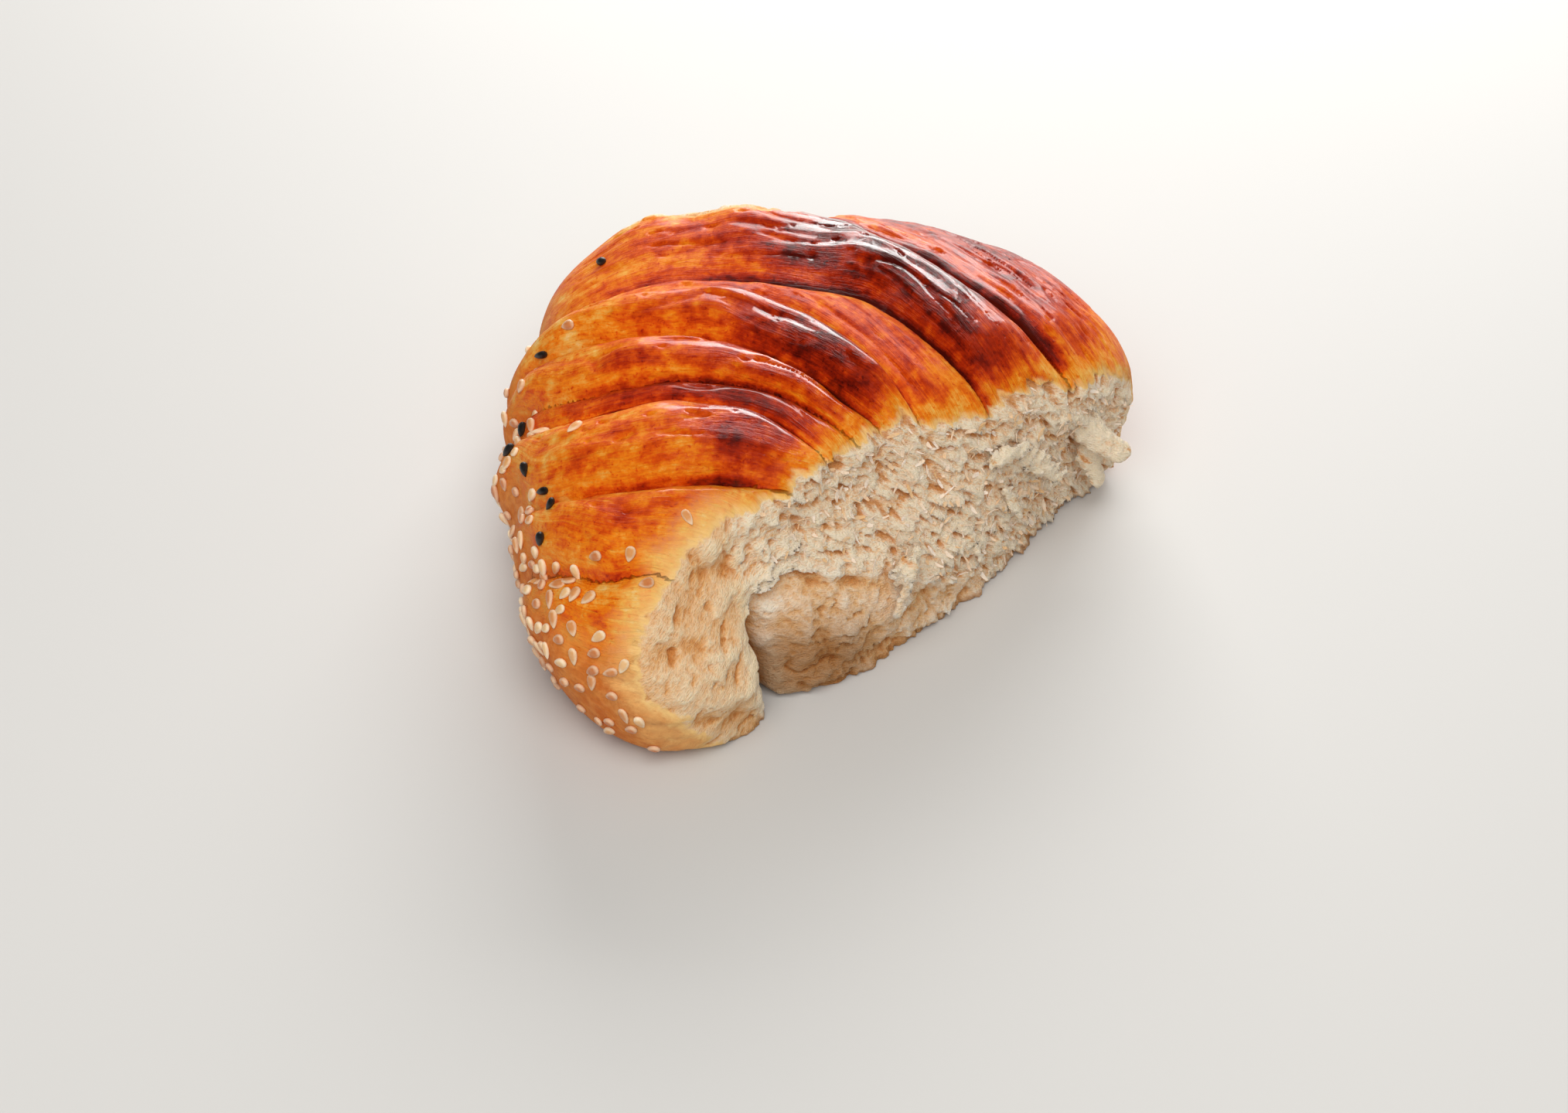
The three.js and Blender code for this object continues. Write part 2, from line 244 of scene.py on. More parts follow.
def lumps(x, y, z=0.0):
    """Smooth noise from -1 to 1 at arrays of points."""
    x, y, z = np.broadcast_arrays(x, y, z)
    points = zip(x.ravel().tolist(), y.ravel().tolist(), z.ravel().tolist())
    return np.array([noise.noise(p) for p in points]).reshape(x.shape)


def radius_at(angle):
    """Closed smooth curve through radii spread evenly around a turn."""
    radii = np.array(RADII, float)
    count = len(radii)
    place = (angle / (2.0 * math.pi)) % 1.0 * count
    i = np.floor(place).astype(int)
    f = place - i
    a, b, c, d = (radii[(i + k) % count] for k in (-1, 0, 1, 2))
    return b + 0.5 * f * (c - a + f * (2 * a - 5 * b + 4 * c - d + f * (3 * (b - c) + d - a)))


def along(points, x):
    """A smooth curve through [x, y] points that never swings past them."""
    xs, ys = np.array(points, float).T
    slope = np.diff(ys) / np.diff(xs)
    tangent = np.zeros(len(xs))
    tangent[0], tangent[-1] = slope[0], slope[-1]
    before, after = slope[:-1], slope[1:]
    same = before * after > 0
    total = np.where(same, before + after, 1.0)
    tangent[1:-1] = np.where(same, 2.0 * before * after / total, 0.0)
    t = np.clip(x, xs[0], xs[-1])
    i = np.clip(np.searchsorted(xs, t, side="right") - 1, 0, len(xs) - 2)
    span = xs[i + 1] - xs[i]
    f = (t - xs[i]) / span
    rise = ys[i] * (2 * f**3 - 3 * f**2 + 1) + ys[i + 1] * (3 * f**2 - 2 * f**3)
    return rise + span * (tangent[i] * (f**3 - 2 * f**2 + f) + tangent[i + 1] * (f**3 - f**2))


def seam_y(seam, x):
    """Y of a seam at X: a Catmull-Rom curve through its points."""
    points = np.array(seam, float)
    last = len(points) - 1
    line = []
    for i in range(last):
        p0, p1, p2, p3 = (points[min(max(k, 0), last)] for k in (i - 1, i, i + 1, i + 2))
        t = np.linspace(0.0, 1.0, 17)[:-1, None]
        curve = t * (p2 - p0 + t * (2 * p0 - 5 * p1 + 4 * p2 - p3 + t * (3 * (p1 - p2) + p3 - p0)))
        line.append(p1 + 0.5 * curve)
    line = np.concatenate(line)
    return np.interp(x, line[:, 0], line[:, 1])


def strand_place(x, y):
    """Which strand a place in plan is on, how far across it (0 front, 1 back) and its width."""
    px, py = np.broadcast_arrays(x - MIDDLE[0], y - MIDDLE[1])
    sway = 1.1 * lumps(px / 17.0, py / 17.0, 3.0) + 0.45 * lumps(px / 6.0, py / 6.0, 13.0)
    edges = [seam_y(seam, px) for seam in SEAMS]
    edges = [edges[0] + BACK_STRAND] + edges + [edges[-1] - TOE_STRAND]
    strand = np.full(px.shape, -1)
    across = np.zeros(px.shape)
    width = np.ones(px.shape)
    for k, (back, front) in enumerate(zip(edges[:-1], edges[1:])):
        wide = np.maximum(back - front, 0.5)
        share = (py + sway - front) / wide
        inside = (share >= 0.0) & (share < 1.0)
        strand = np.where(inside, k, strand)
        across = np.where(inside, share, across)
        width = np.where(inside, wide, width)
    return strand, across, width


def crust_folds(px, inward, strand):
    """Long folds, creases and pits that run along a strand."""
    fold = 0.45 * lumps(px / 16.0, inward / 2.8, strand * 7.3)
    fold = fold + 0.16 * lumps(px / 6.0, inward / 1.2, strand * 2.9)
    crease = np.maximum(0.0, 1.0 - 6.0 * np.abs(lumps(px / 20.0, inward / 4.0, strand * 3.1 + 40.0)))
    patch = ramp(-0.15, 0.35, lumps(px / 15.0, inward / 7.0, strand * 5.7 + 9.0))
    pit = ramp(0.42, 0.6, lumps(px / 3.6, inward / 1.7, strand * 1.9 + 60.0))
    return fold - 0.75 * crease * patch - 0.5 * pit


def strand_rise(x, y):
    """How far the strands and their folds stand proud of the dome."""
    strand, across, width = strand_place(x, y)
    height = np.array(STRAND_RISE + (0.0,))[strand]
    share = np.array(CREST_SHARE + (0.5,))[strand]
    crest = across ** (math.log(0.5) / np.log(share))
    profile = np.clip(1.0 - np.abs(2.0 * crest - 1.0) ** 2.4, 0.0, 1.0) ** 0.62
    px = np.broadcast_to(x - MIDDLE[0], profile.shape)
    swell = 1.0 + 0.35 * lumps(px / 15.0, strand * 9.1, 2.0)
    full = np.minimum(1.0, width / FULL_WIDTH)
    rise = (profile - VALLEY_SHARE) * VISUAL_RISE * height * swell * full
    t, out = tear_frame(x, y)
    calm = 0.35 + 0.65 * ramp(0.0, 15.0, along(LIP, t) - out)
    dx, dy = x - CROWN[0], y - CROWN[1]
    top = ramp(*FOLD_CALM, np.hypot(dx, dy) / radius_at(np.arctan2(dy, dx)))
    return (rise + profile * (0.25 + 0.75 * top) * crust_folds(px, across * width, strand)) * calm


def dome_distance(x, y, z):
    """Signed distance, near the surface, to the dome without its strands."""
    def plan(px, py):
        dx, dy = px - CROWN[0], py - CROWN[1]
        return (np.hypot(dx, dy) / radius_at(np.arctan2(dy, dx))) ** PLAN_POWER

    def side(pz):
        up = np.where(pz > WIDEST, (pz - WIDEST) / (HEIGHT - WIDEST), (WIDEST - pz) / UNDERSIDE)
        return np.abs(up) ** SIDE_POWER

    step = 0.5
    slope_x = plan(x + step, y) - plan(x - step, y)
    slope_y = plan(x, y + step) - plan(x, y - step)
    slope_z = side(z + step) - side(z - step)
    steepness = np.sqrt(slope_x**2 + slope_y**2 + slope_z**2) / (2.0 * step)
    return (plan(x, y) + side(z) - 1.0) / np.maximum(steepness, 1e-4)


def crust_distance(x, y, z):
    return dome_distance(x, y, z) - strand_rise(x, y) * ramp(*RISE_FADE, z)


def tear_frame(x, y):
    """Place along the front tear, and how far out of it."""
    dx, dy = x - TEAR_START[0], y - TEAR_START[1]
    cos, sin = math.cos(TEAR_ANGLE), math.sin(TEAR_ANGLE)
    return dx * cos + dy * sin, dx * sin - dy * cos


def fibre_height(t, z):
    """Height above the arch that the fibres follow, which is less steep on the toe than the lip is."""
    return z - along(ARCH, np.maximum(t, TOE_BEND)) - 0.7 * np.minimum(t - TOE_BEND, 0.0)


def torn_sheets(t, level):
    """Sheets of stretched crumb that hang over each other like shingles, with ragged lower edges."""
    bend = 0.90 * lumps(t / 10.0, level / 7.0, 21.0) + 0.35 * lumps(t / 4.5, level / 4.0, 27.0)
    ragged = 0.16 * lumps(t / 0.9, level / 1.6, 23.0) + 0.26 * lumps(t / 2.1, level / 2.5, 25.0)
    layer = level / SHEET_SPACING + bend + ragged
    share = layer - np.floor(layer)
    lift = ramp(0.0, 0.09, share) * (1.0 - share) ** 1.3
    reach = np.clip(0.35 + 1.8 * lumps(t / 4.5, np.floor(layer) * 5.3, 31.0), 0.0, 1.5)
    return lift * reach


def torn_cells(u, v, seed):
    """Torn bubbles: 0 on the walls between them, and down to -1 in the deepest of them."""
    row, column = np.floor(u), np.floor(v)
    nearest, second, depth = np.full(u.shape, 9.0), np.full(u.shape, 9.0), np.zeros(u.shape)
    for step_u in (-1, 0, 1):
        for step_v in (-1, 0, 1):
            i, j = row + step_u, column + step_v
            chance = [np.modf(np.abs(np.sin(i * a + j * b + seed)) * CELL_SPREAD)[0] for a, b in CELL_MIX]
            far = np.hypot(i + chance[0] - u, j + chance[1] - v)
            depth = np.where(far < nearest, chance[2], depth)
            second = np.minimum(second, np.maximum(nearest, far))
            nearest = np.minimum(nearest, far)
    return -ramp(0.0, 0.45, second - nearest) * (0.15 + 0.85 * depth)


def crumb_relief(t, z):
    """Relief of the torn crumb: lumps, sheets above, pores and cracks below and a ragged foot."""
    level = fibre_height(t, z)
    toe = ramp(-5.0, -12.0, t)
    upper = ramp(-2.0, 2.0, z - along(ARCH, t)) * (1.0 - 0.8 * toe)
    big = 1.0 * lumps(t / 11.0, z / 8.0, 1.0) + 1.1 * lumps(t / 4.6, z / 4.0, 5.0)
    big = big + toe * 1.2 * lumps(t / 6.5, z / 5.5, 17.0)
    fibres = 0.45 * lumps(t / 3.2, level / 1.6, 11.0) + 0.34 * lumps(t / 1.4, level / 0.8, 15.0)
    grit = 0.30 * lumps(t / 0.9, z / 0.9, 51.0) + 0.45 * lumps(t / 1.8, z / 1.7, 55.0)
    warp = 0.5 * lumps(t / 2.6, z / 2.6, 41.0)
    cells = torn_cells(t / 3.0 + warp, level / 1.9 + 0.6 * lumps(t / 4.0, z / 2.4, 43.0), 3.0)
    small = torn_cells(t / 1.5 + warp, level / 1.1 - warp, 7.0)
    crowd = ramp(-0.25, 0.35, lumps(t / 9.0, z / 9.0, 66.0))
    holes = ramp(0.34, 0.52, lumps(t / 3.4, level / 2.4, 71.0))
    cracks = ramp(0.05, 0.0, np.abs(lumps(t / 8.0, z / 3.2, 91.0)))
    cracks = cracks * ramp(0.05, 0.3, lumps(t / 8.0, z / 5.0, 95.0))
    clumps = 2.2 * lumps(t / 7.0, z / 6.0, 83.0) + 1.3 * lumps(t / 3.0, z / 2.4, 81.0)
    clumps = clumps + 0.9 * lumps(t, z / 1.2, 85.0)
    foot = ramp(8.0, 0.5, z) * clumps * (1.0 - 0.5 * toe)
    sheets = 1.7 * torn_sheets(t, level) - 0.5
    fine = grit + (0.2 + 0.8 * upper) * fibres + (0.30 + 0.90 * upper) * cells + (0.55 + 0.3 * crowd) * small
    pits = holes * (0.5 + 0.8 * upper + 0.2 * toe) + 1.3 * cracks * (1.0 - upper)
    return big + upper * sheets + fine * (1.0 - 0.35 * toe) + 0.4 + foot - pits


def tear_tables():
    """Tables of how far the front tear stands out, and how far its face would without its relief."""
    t = np.arange(*TABLE_ALONG, TABLE_STEP)[:, None]
    z = np.arange(*TABLE_UP, TABLE_STEP)[None, :]
    up = np.maximum(z, 0.0)
    shut = ramp(*NOTCH_TOP, up - 0.2 * t)
    foot = along(FOOT, t + NOTCH_TURN * np.maximum(0.0, up - NOTCH_BEND))
    low = foot * (1.0 - shut) + along(HEEL, t) * shut
    face = low + (along(LIP, t) - low) * ramp(*LEAN, up)
    arch = along(ARCH, t) + 0.8 * lumps(t / 3.0, 2.0, 7.0) + 0.5 * lumps(t / 1.2, 4.0, 7.0)
    under = ramp(0.5, -1.0 - 2.5 * ramp(4.0, 18.0, t), z - arch) * along(UNDERCUT, t)
    under = under * np.clip(up / np.maximum(arch, 1.0), 0.0, 1.0)
    return face - under + crumb_relief(t, z), face


def blurred(table, steps):
    """The mean of a table over a square of the given half width."""
    for axis in (0, 1):
        padded = np.pad(table, [(steps + 1, steps) if a == axis else (0, 0) for a in (0, 1)], "edge")
        total = np.cumsum(padded, axis)
        size = table.shape[axis]
        width = 2 * steps + 1
        table = (total.take(range(width, width + size), axis) - total.take(range(size), axis)) / width
    return table


def back_relief():
    """Relief of the small tear at the back."""
    x = np.arange(*TABLE_ALONG, TABLE_STEP)[:, None]
    z = np.arange(*TABLE_UP, TABLE_STEP)[None, :]
    return crumb_relief(x + BACK_PATCH, z)


tear_table, face_table = tear_tables()
back_table = back_relief()


def from_table(table, t, z):
    """Reads a table between its steps."""
    rows, columns = table.shape
    row = np.clip((t - TABLE_ALONG[0]) / TABLE_STEP, 0.0, rows - 1.001)
    column = np.clip((z - TABLE_UP[0]) / TABLE_STEP, 0.0, columns - 1.001)
    i, j = row.astype(np.int32), column.astype(np.int32)
    f, g = row - i, column - j
    low = table[i, j] * (1 - f) + table[i + 1, j] * f
    high = table[i, j + 1] * (1 - f) + table[i + 1, j + 1] * f
    return low * (1 - g) + high * g


def drooped(t, out, z):
    """The height at which to read the tear, so that what stands out hangs down."""
    return z + DROOP * np.clip(out - from_table(face_table, t, z), *DROOP_REACH)


def tear_distance(x, y, z):
    """Signed distance out of the front tear."""
    t, out = tear_frame(x, y)
    return out - from_table(tear_table, t, drooped(t, out, z))


def back_tear_distance(x, y, z):
    """Signed distance out of the small tear at the back."""
    px, py = x - MIDDLE[0], y - MIDDLE[1]
    plane = py - BACK_OUT + BACK_SLANT * (px + BACK_SLANT_FROM) + BACK_LEAN * (z - BACK_LEAN_FROM)
    plane = plane - BACK_CURL * np.maximum(0.0, px + BACK_CURL_FROM) ** 2
    return plane - BACK_RELIEF * from_table(back_table, px + BACK_SHIFT, z)


def notch_distance(x, y, z):
    """Negative inside the crack that runs in from the notch under the toe."""
    t, out = tear_frame(x, y)
    middle = CRACK_MIDDLE + CRACK_SLANT * (out + CRACK_MOUTH) - NOTCH_TURN * np.maximum(0.0, z - NOTCH_BEND)
    return np.maximum(np.maximum(np.abs(t - middle) - CRACK_HALF, z - CRACK_TOP), -(out + CRACK_DEPTH))


def out_of_frame(place):
    """The x, y and z of a place given along, out of and up the front tear."""
    t, out, z = place
    cos, sin = math.cos(TEAR_ANGLE), math.sin(TEAR_ANGLE)
    return np.array((TEAR_START[0] + t * cos + out * sin, TEAR_START[1] + t * sin - out * cos, z))


def shred_distance(x, y, z, start, end, radius, ragged):
    """Signed distance to a ragged shred of crumb, worked out only near it."""
    ends = np.array((out_of_frame(start), out_of_frame(end)))
    low, high = ends.min(0) - SHRED_REACH, ends.max(0) + SHRED_REACH
    near = (x > low[0]) & (x < high[0]) & (y > low[1]) & (y < high[1]) & (z > low[2]) & (z < high[2])
    result = np.full(near.shape, SHRED_REACH)
    px, py, pz = (np.broadcast_to(v, near.shape)[near] for v in (x, y, z))
    span = np.array(end) - start
    offset = np.stack([*tear_frame(px, py), pz], 1) - start
    share = np.clip(offset @ span / (span @ span), 0.0, 1.0)
    away = offset - share[:, None] * span
    away[:, 1] *= SHRED_THIN
    rough = 0.6 * lumps(px / 1.7, py / 1.7, pz / 1.7) + 0.6 * lumps(px / 0.8, py / 0.8, pz / 0.8)
    result[near] = np.linalg.norm(away, axis=1) - radius * (1.0 - 0.35 * share - ragged * rough)
    return result


def shreds_distance(x, y, z):
    return np.min([shred_distance(x, y, z, *shred) for shred in SHREDS], axis=0)


def bread_distance(x, y, z):
    """Signed distance to the whole bread: its crust, torn, cracked, with its shreds and its flat base."""
    crust = crust_distance(x, y, z)
    tear = tear_distance(x, y, z)
    t, _ = tear_frame(x, y)
    low, high = EDGE_ROUNDING
    rounding = low + (high - low) * ramp(*EDGE_HEIGHTS, z)
    rounding = rounding + (TOE_ROUNDING - rounding) * ramp(*TOE_REACH, t)
    solid = soft_max(crust, tear, rounding)
    solid = soft_max(solid, back_tear_distance(x, y, z), BACK_ROUNDING)
    solid = np.maximum(solid, -notch_distance(x, y, z))
    for shred in SHREDS:
        solid = soft_min(solid, shred_distance(x, y, z, *shred), SHRED_ROUNDING)
    under_crust = ramp(-0.5, -3.5, tear) * ramp(-9.0, -4.0, crust)
    by_notch = ramp(-7.0, -4.0, t) * ramp(14.0, 3.0, t)
    foot = np.maximum(BASE_ROUNDING * under_crust, NOTCH_FOOT_ROUNDING * by_notch)
    return soft_max(solid, -z, FOOT_ROUNDING + foot)


# ---------------------------------------------------------------- meshes
# How far the grid reaches past the solid bread, and how far its layers are kept off the base's plane.
GRID_MARGIN = 3.0
GRID_OFFSET = 0.02


def surface_net(field, corner, step):
    """Vertices and quads of the surface where a grid of signed distances changes sign."""
    inside = field < 0.0
    corners = [(i, j, k) for i in (0, 1) for j in (0, 1) for k in (0, 1)]
    size = [n - 1 for n in field.shape]
    count = np.zeros(size, np.int8)
    for i, j, k in corners:
        count += inside[i:i + size[0], j:j + size[1], k:k + size[2]]
    crossed = (count > 0) & (count < len(corners))
    cells = np.argwhere(crossed)
    number = np.full(crossed.shape, -1, np.int32)
    number[crossed] = np.arange(len(cells))
    value = {c: field[tuple((cells + c).T)] for c in corners}
    total = np.zeros((len(cells), 3))
    crossings = np.zeros(len(cells))
    for axis in range(3):
        for start in (c for c in corners if c[axis] == 0):
            end = tuple(1 if a == axis else v for a, v in enumerate(start))
            v0, v1 = value[start], value[end]
            cut = (v0 < 0.0) != (v1 < 0.0)
            point = np.tile(np.array(start, float), (len(cells), 1))
            point[:, axis] = np.where(cut, v0 / np.where(cut, v0 - v1, 1.0), 0.0)
            total += point * cut[:, None]
            crossings += cut
    vertices = (cells + total / crossings[:, None]) * step + corner
    return vertices, np.concatenate([net_quads(inside, number, axis) for axis in range(3)])


def net_quads(inside, number, axis):
    """One quad around each grid edge along an axis that crosses the surface."""
    side, up = (axis + 1) % 3, (axis + 2) % 3
    first = [slice(1, -1)] * 3
    first[axis] = slice(0, -1)
    second = list(first)
    second[axis] = slice(1, None)
    a, b = inside[tuple(first)], inside[tuple(second)]
    quads = []
    for turned, edges in ((False, np.argwhere(a & ~b)), (True, np.argwhere(~a & b))):
        edges = edges + np.array([0 if d == axis else 1 for d in range(3)])
        ring = []
        for back_side, back_up in ((1, 1), (0, 1), (0, 0), (1, 0)):
            cell = edges.copy()
            cell[:, side] -= back_side
            cell[:, up] -= back_up
            ring.append(number[tuple(cell.T)])
        quad = np.stack(ring, 1)
        quads.append(quad[:, ::-1] if turned else quad)
    return np.concatenate(quads)


def new_object(name, vertices, faces):
    """A mesh object from points in millimetres."""
    mesh = bpy.data.meshes.new(name)
    mesh.from_pydata((np.asarray(vertices) * MM).tolist(), [], [list(map(int, f)) for f in faces])
    mesh.update()
    obj = bpy.data.objects.new(name, mesh)
    bpy.context.scene.collection.objects.link(obj)
    return obj


def applied(obj):
    """Turns an object's modifiers into its plain mesh."""
    bpy.context.view_layer.update()
    graph = bpy.context.evaluated_depsgraph_get()
    mesh = bpy.data.meshes.new_from_object(obj.evaluated_get(graph), depsgraph=graph)
    obj.modifiers.clear()
    old = obj.data
    obj.data = mesh
    mesh.name = obj.name
    if not old.users:
        bpy.data.meshes.remove(old)
    return obj


def vertex_points(obj):
    """Vertices of an object in millimetres."""
    points = np.zeros(len(obj.data.vertices) * 3, np.float32)
    obj.data.vertices.foreach_get("co", points)
    return points.reshape(-1, 3).astype(float) / MM


def vertex_normals(obj):
    normals = np.zeros(len(obj.data.vertices) * 3, np.float32)
    obj.data.vertex_normals.foreach_get("vector", normals)
    return normals.reshape(-1, 3)


def set_attribute(obj, name, values):
    values = np.asarray(values, np.float32)
    if values.ndim == 1:
        layer = obj.data.attributes.new(name, "FLOAT", "POINT")
        layer.data.foreach_set("value", values)
    else:
        layer = obj.data.attributes.new(name, "FLOAT_VECTOR", "POINT")
        layer.data.foreach_set("vector", values.ravel())


def smooth_faces(obj):
    obj.data.polygons.foreach_set("use_smooth", [True] * len(obj.data.polygons))
    obj.data.update()


# ---------------------------------------------------------------- marks on the bread that its finish reads
def strand_bake_and_seam_shade(x, y):
    """How dark the glaze is baked: by strand, golden to its back and paler beside a seam, with painted shade
    darkening the seam itself.
    """
    strand, across, width = strand_place(x, y)
    px = x - MIDDLE[0]
    bake = strand_level(STRAND_BAKE, 0.45, px, strand)
    inward = across * width
    patch = lumps((px + 0.8 * inward) / 9.0, (inward - 0.3 * px) / 5.0, strand * 4.0 + 90.0)
    small = lumps((px - 0.7 * inward) / 3.4, (inward + 0.5 * px) / 2.6, strand * 6.0 + 30.0)
    bake = bake + 0.15 * patch + 0.10 * small
    golden = ramp(0.72, 0.97, across) * np.minimum(1.0, width / FULL_WIDTH)
    bake = bake - 0.20 * golden * ramp(0.3, 0.7, bake)
    # Painted shade in the seams between strands, on all but the left end and away from the tear.
    seam = np.maximum(ramp(0.08, 0.01, across), 0.6 * ramp(0.95, 0.99, across)) * (strand >= 0)
    bake = bake - 0.16 * ramp(0.20, 0.12, across) * ramp(0.04, 0.10, across) * ramp(0.3, 0.6, bake)
    t, out = tear_frame(x, y)
    inner = ramp(1.0, 11.0, along(LIP, t) - out)
    return bake + 0.24 * seam * ramp(-50.0, -20.0, px) * inner, strand, across, width


def strand_level(levels, plain, px, strand):
    """A quality that is given along each strand."""
    level = np.full(px.shape, plain)
    for k, points in enumerate(levels):
        level = np.where(strand == k, along(points, px), level)
    return level


def flake_density(torn, near, stretched, t, z):
    """Flakes cling to the stretched upper crumb where it stands proud."""
    return ramp(0.4, 1.4, torn) * stretched * ramp(-4.0, 4.0, t) * ramp(-0.5, 0.2, near) * ramp(2.0, 3.0, z)


def tear_relief(table, t, z):
    """How far a torn face stands out of its surroundings, finely and broadly."""
    fine, broad = blurred(table, 4), blurred(table, 14)
    return from_table(table - fine, t, z), from_table(fine - broad, t, z)


def mark_bread(bread):
    """Stores what the bread's finish reads at each point of its surface."""
    x, y, z = vertex_points(bread).T
    up = vertex_normals(bread)[:, 2]
    t, _ = tear_frame(x, y)
    crust = crust_distance(x, y, z)
    front = tear_distance(x, y, z) - crust
    back = back_tear_distance(x, y, z) - crust
    base = ramp(*BASE_HEIGHTS, z) * ramp(-0.7, -0.95, up)
    pale_back = 2.4 * ramp(12.0, -20.0, x - MIDDLE[0]) * ramp(-3.2, -2.0, back)
    torn = np.maximum(front, back + pale_back) * (1.0 - base) - 12.0 * base
    wall = ramp(*WALL_HEIGHTS, z + 8.0 * (up - 0.4) + 2.5 * lumps(x / 7.0, y / 7.0, z / 7.0))
    skin = ramp(1.4, 0.7, notch_distance(x, y, z)) * ramp(15.0, 10.0, z) * ramp(-4.9, -5.4, t)
    set_attribute(bread, "torn", torn - 9.0 * skin)
    set_attribute(bread, "wall", np.maximum(wall, skin))
    set_attribute(bread, "base", base)
    mark_glaze(bread, (x, y, z), torn, wall)
    mark_crumb(bread, (x, y, z), front, back > front)


def mark_glaze(bread, place, torn, wall):
    """How dark and how thick the glaze is, with painted shade in its seams, and how its grain runs along the
    strands.
    """
    x, y, z = place
    bake, strand, across, width = strand_bake_and_seam_shade(x, y)
    bake = bake - 0.30 * ramp(-9.0, -1.0, torn) * ramp(0.2, 0.6, bake)
    thickness = strand_level(STRAND_GLOSS, 0.1, x - MIDDLE[0], strand)
    set_attribute(bread, "bake", bake)
    set_attribute(bread, "gloss", thickness * ramp(0.75, 0.25, wall))
    set_attribute(bread, "grain", np.stack([x, across * width, strand * 37.0 + 0.3 * z * wall], 1))


def mark_crumb(bread, place, front, behind):
    """How the torn crumb's fibres run, how far each spot stands out and how stretched it is."""
    x, y, z = place
    t, out = tear_frame(x, y)
    px = x - MIDDLE[0]
    near, far = tear_relief(tear_table, t, drooped(t, out, z))
    near_behind, far_behind = tear_relief(back_table, px + BACK_SHIFT, z)
    near, far = np.where(behind, near_behind, near), np.where(behind, far_behind, far)
    along_tear = np.where(behind, px + BACK_PATCH, t)
    set_attribute(bread, "fibre", np.stack([along_tear, out, fibre_height(along_tear, z)], 1))
    distance = shreds_distance(x, y, z)
    # The finish paints light on what stands out here and shade on what lies back; shreds count as standing
    # out, so they are painted lighter.
    relief = (near + 0.6 * far) * np.where(behind, 0.5, 1.0) - 0.3 * behind
    set_attribute(bread, "relief", relief + 0.7 * ramp(0.9, 0.2, distance))
    calm = np.where(behind, 0.4, 0.7 * ramp(-5.0, -12.0, t))
    stretched = ramp(-3.0, 3.0, z - along(ARCH, t))
    set_attribute(bread, "stretched", stretched * (1.0 - calm))
    clinging = flake_density(front, near, stretched, t, z) * ramp(0.5, 1.5, distance)
    set_attribute(bread, "flake_density", clinging)


# ---------------------------------------------------------------- node trees
class Wire:
    """A node's output; arithmetic on it adds Math nodes."""

    def __init__(self, sheet, socket):
        self.sheet = sheet
        self.socket = socket

    def math(self, operation, *values):
        inputs = dict(enumerate(values))
        return self.sheet.add("ShaderNodeMath", {"operation": operation}, inputs)

    def __add__(self, other):
        return self.math("ADD", self, other)

    def __radd__(self, other):
        return self.math("ADD", other, self)

    def __sub__(self, other):
        return self.math("SUBTRACT", self, other)

    def __rsub__(self, other):
        return self.math("SUBTRACT", other, self)

    def __mul__(self, other):
        return self.math("MULTIPLY", self, other)

    def __rmul__(self, other):
        return self.math("MULTIPLY", other, self)

    def clamped(self):
        return self.sheet.add("ShaderNodeClamp", {}, {0: self})

    def between(self, start, end, low=0.0, high=1.0):
        """Smooth step from low at start to high at end."""
        settings = {"interpolation_type": "SMOOTHSTEP"}
        return self.sheet.add("ShaderNodeMapRange", settings, {0: self, 1: start, 2: end, 3: low, 4: high})


class Sheet:
    """A node tree that is filled one node at a time."""

    def __init__(self, tree):
        self.tree = tree

    def add(self, kind, settings=None, inputs=None, output=0):
        node = self.tree.nodes.new(kind)
        for name, value in (settings or {}).items():
            if name == "stops":
                self.set_stops(node.color_ramp, value)
            else:
                setattr(node, name, value)
        for name, value in (inputs or {}).items():
            if isinstance(value, Wire):
                self.tree.links.new(value.socket, node.inputs[name])
            else:
                node.inputs[name].default_value = value
        return Wire(self, node.outputs[output]) if node.outputs else node

    @staticmethod
    def set_stops(color_ramp, stops):
        elements = color_ramp.elements
        while len(elements) < len(stops):
            elements.new(1.0)
        for element, (place, color) in zip(elements, stops):
            element.position = place
            element.color = (*color, 1.0)

    def attribute(self, name, output="Fac"):
        return self.add("ShaderNodeAttribute", {"attribute_name": name}, {}, output)

    def scaled(self, vector, scale):
        return self.add("ShaderNodeMapping", {}, {"Vector": vector, "Scale": scale})

    def part(self, vector, axis):
        """One of a vector's X, Y and Z."""
        return self.add("ShaderNodeSeparateXYZ", {}, {"Vector": vector}, axis)

    def bump(self, height, depth, strength=1.0):
        inputs = {"Strength": strength, "Distance": depth, "Height": height}
        return self.add("ShaderNodeBump", {}, inputs)

    def noise(self, vector, detail=3.0, roughness=0.5, distortion=0.0):
        inputs = {"Vector": vector, "Scale": 1.0, "Detail": detail, "Roughness": roughness,
                  "Distortion": distortion}
        return self.add("ShaderNodeTexNoise", {}, inputs)

    def mix(self, factor, first, second, blend="MIX"):
        settings = {"data_type": "RGBA", "blend_type": blend}
        return self.add("ShaderNodeMix", settings, {0: factor, 6: first, 7: second}, 2)


def rgb(red, green, blue):
    """Linear colour from 0 to 255 display values."""
    def linear(value):
        value /= 255.0
        return value / 12.92 if value <= 0.04045 else ((value + 0.055) / 1.055) ** 2.4

    return tuple(linear(v) for v in (red, green, blue))


def new_material(name):
    material = bpy.data.materials.new(name)
    material.use_nodes = True
    material.node_tree.nodes.clear()
    return material, Sheet(material.node_tree)


def finish_material(sheet, shader):
    sheet.add("ShaderNodeOutputMaterial", {}, {"Surface": shader})


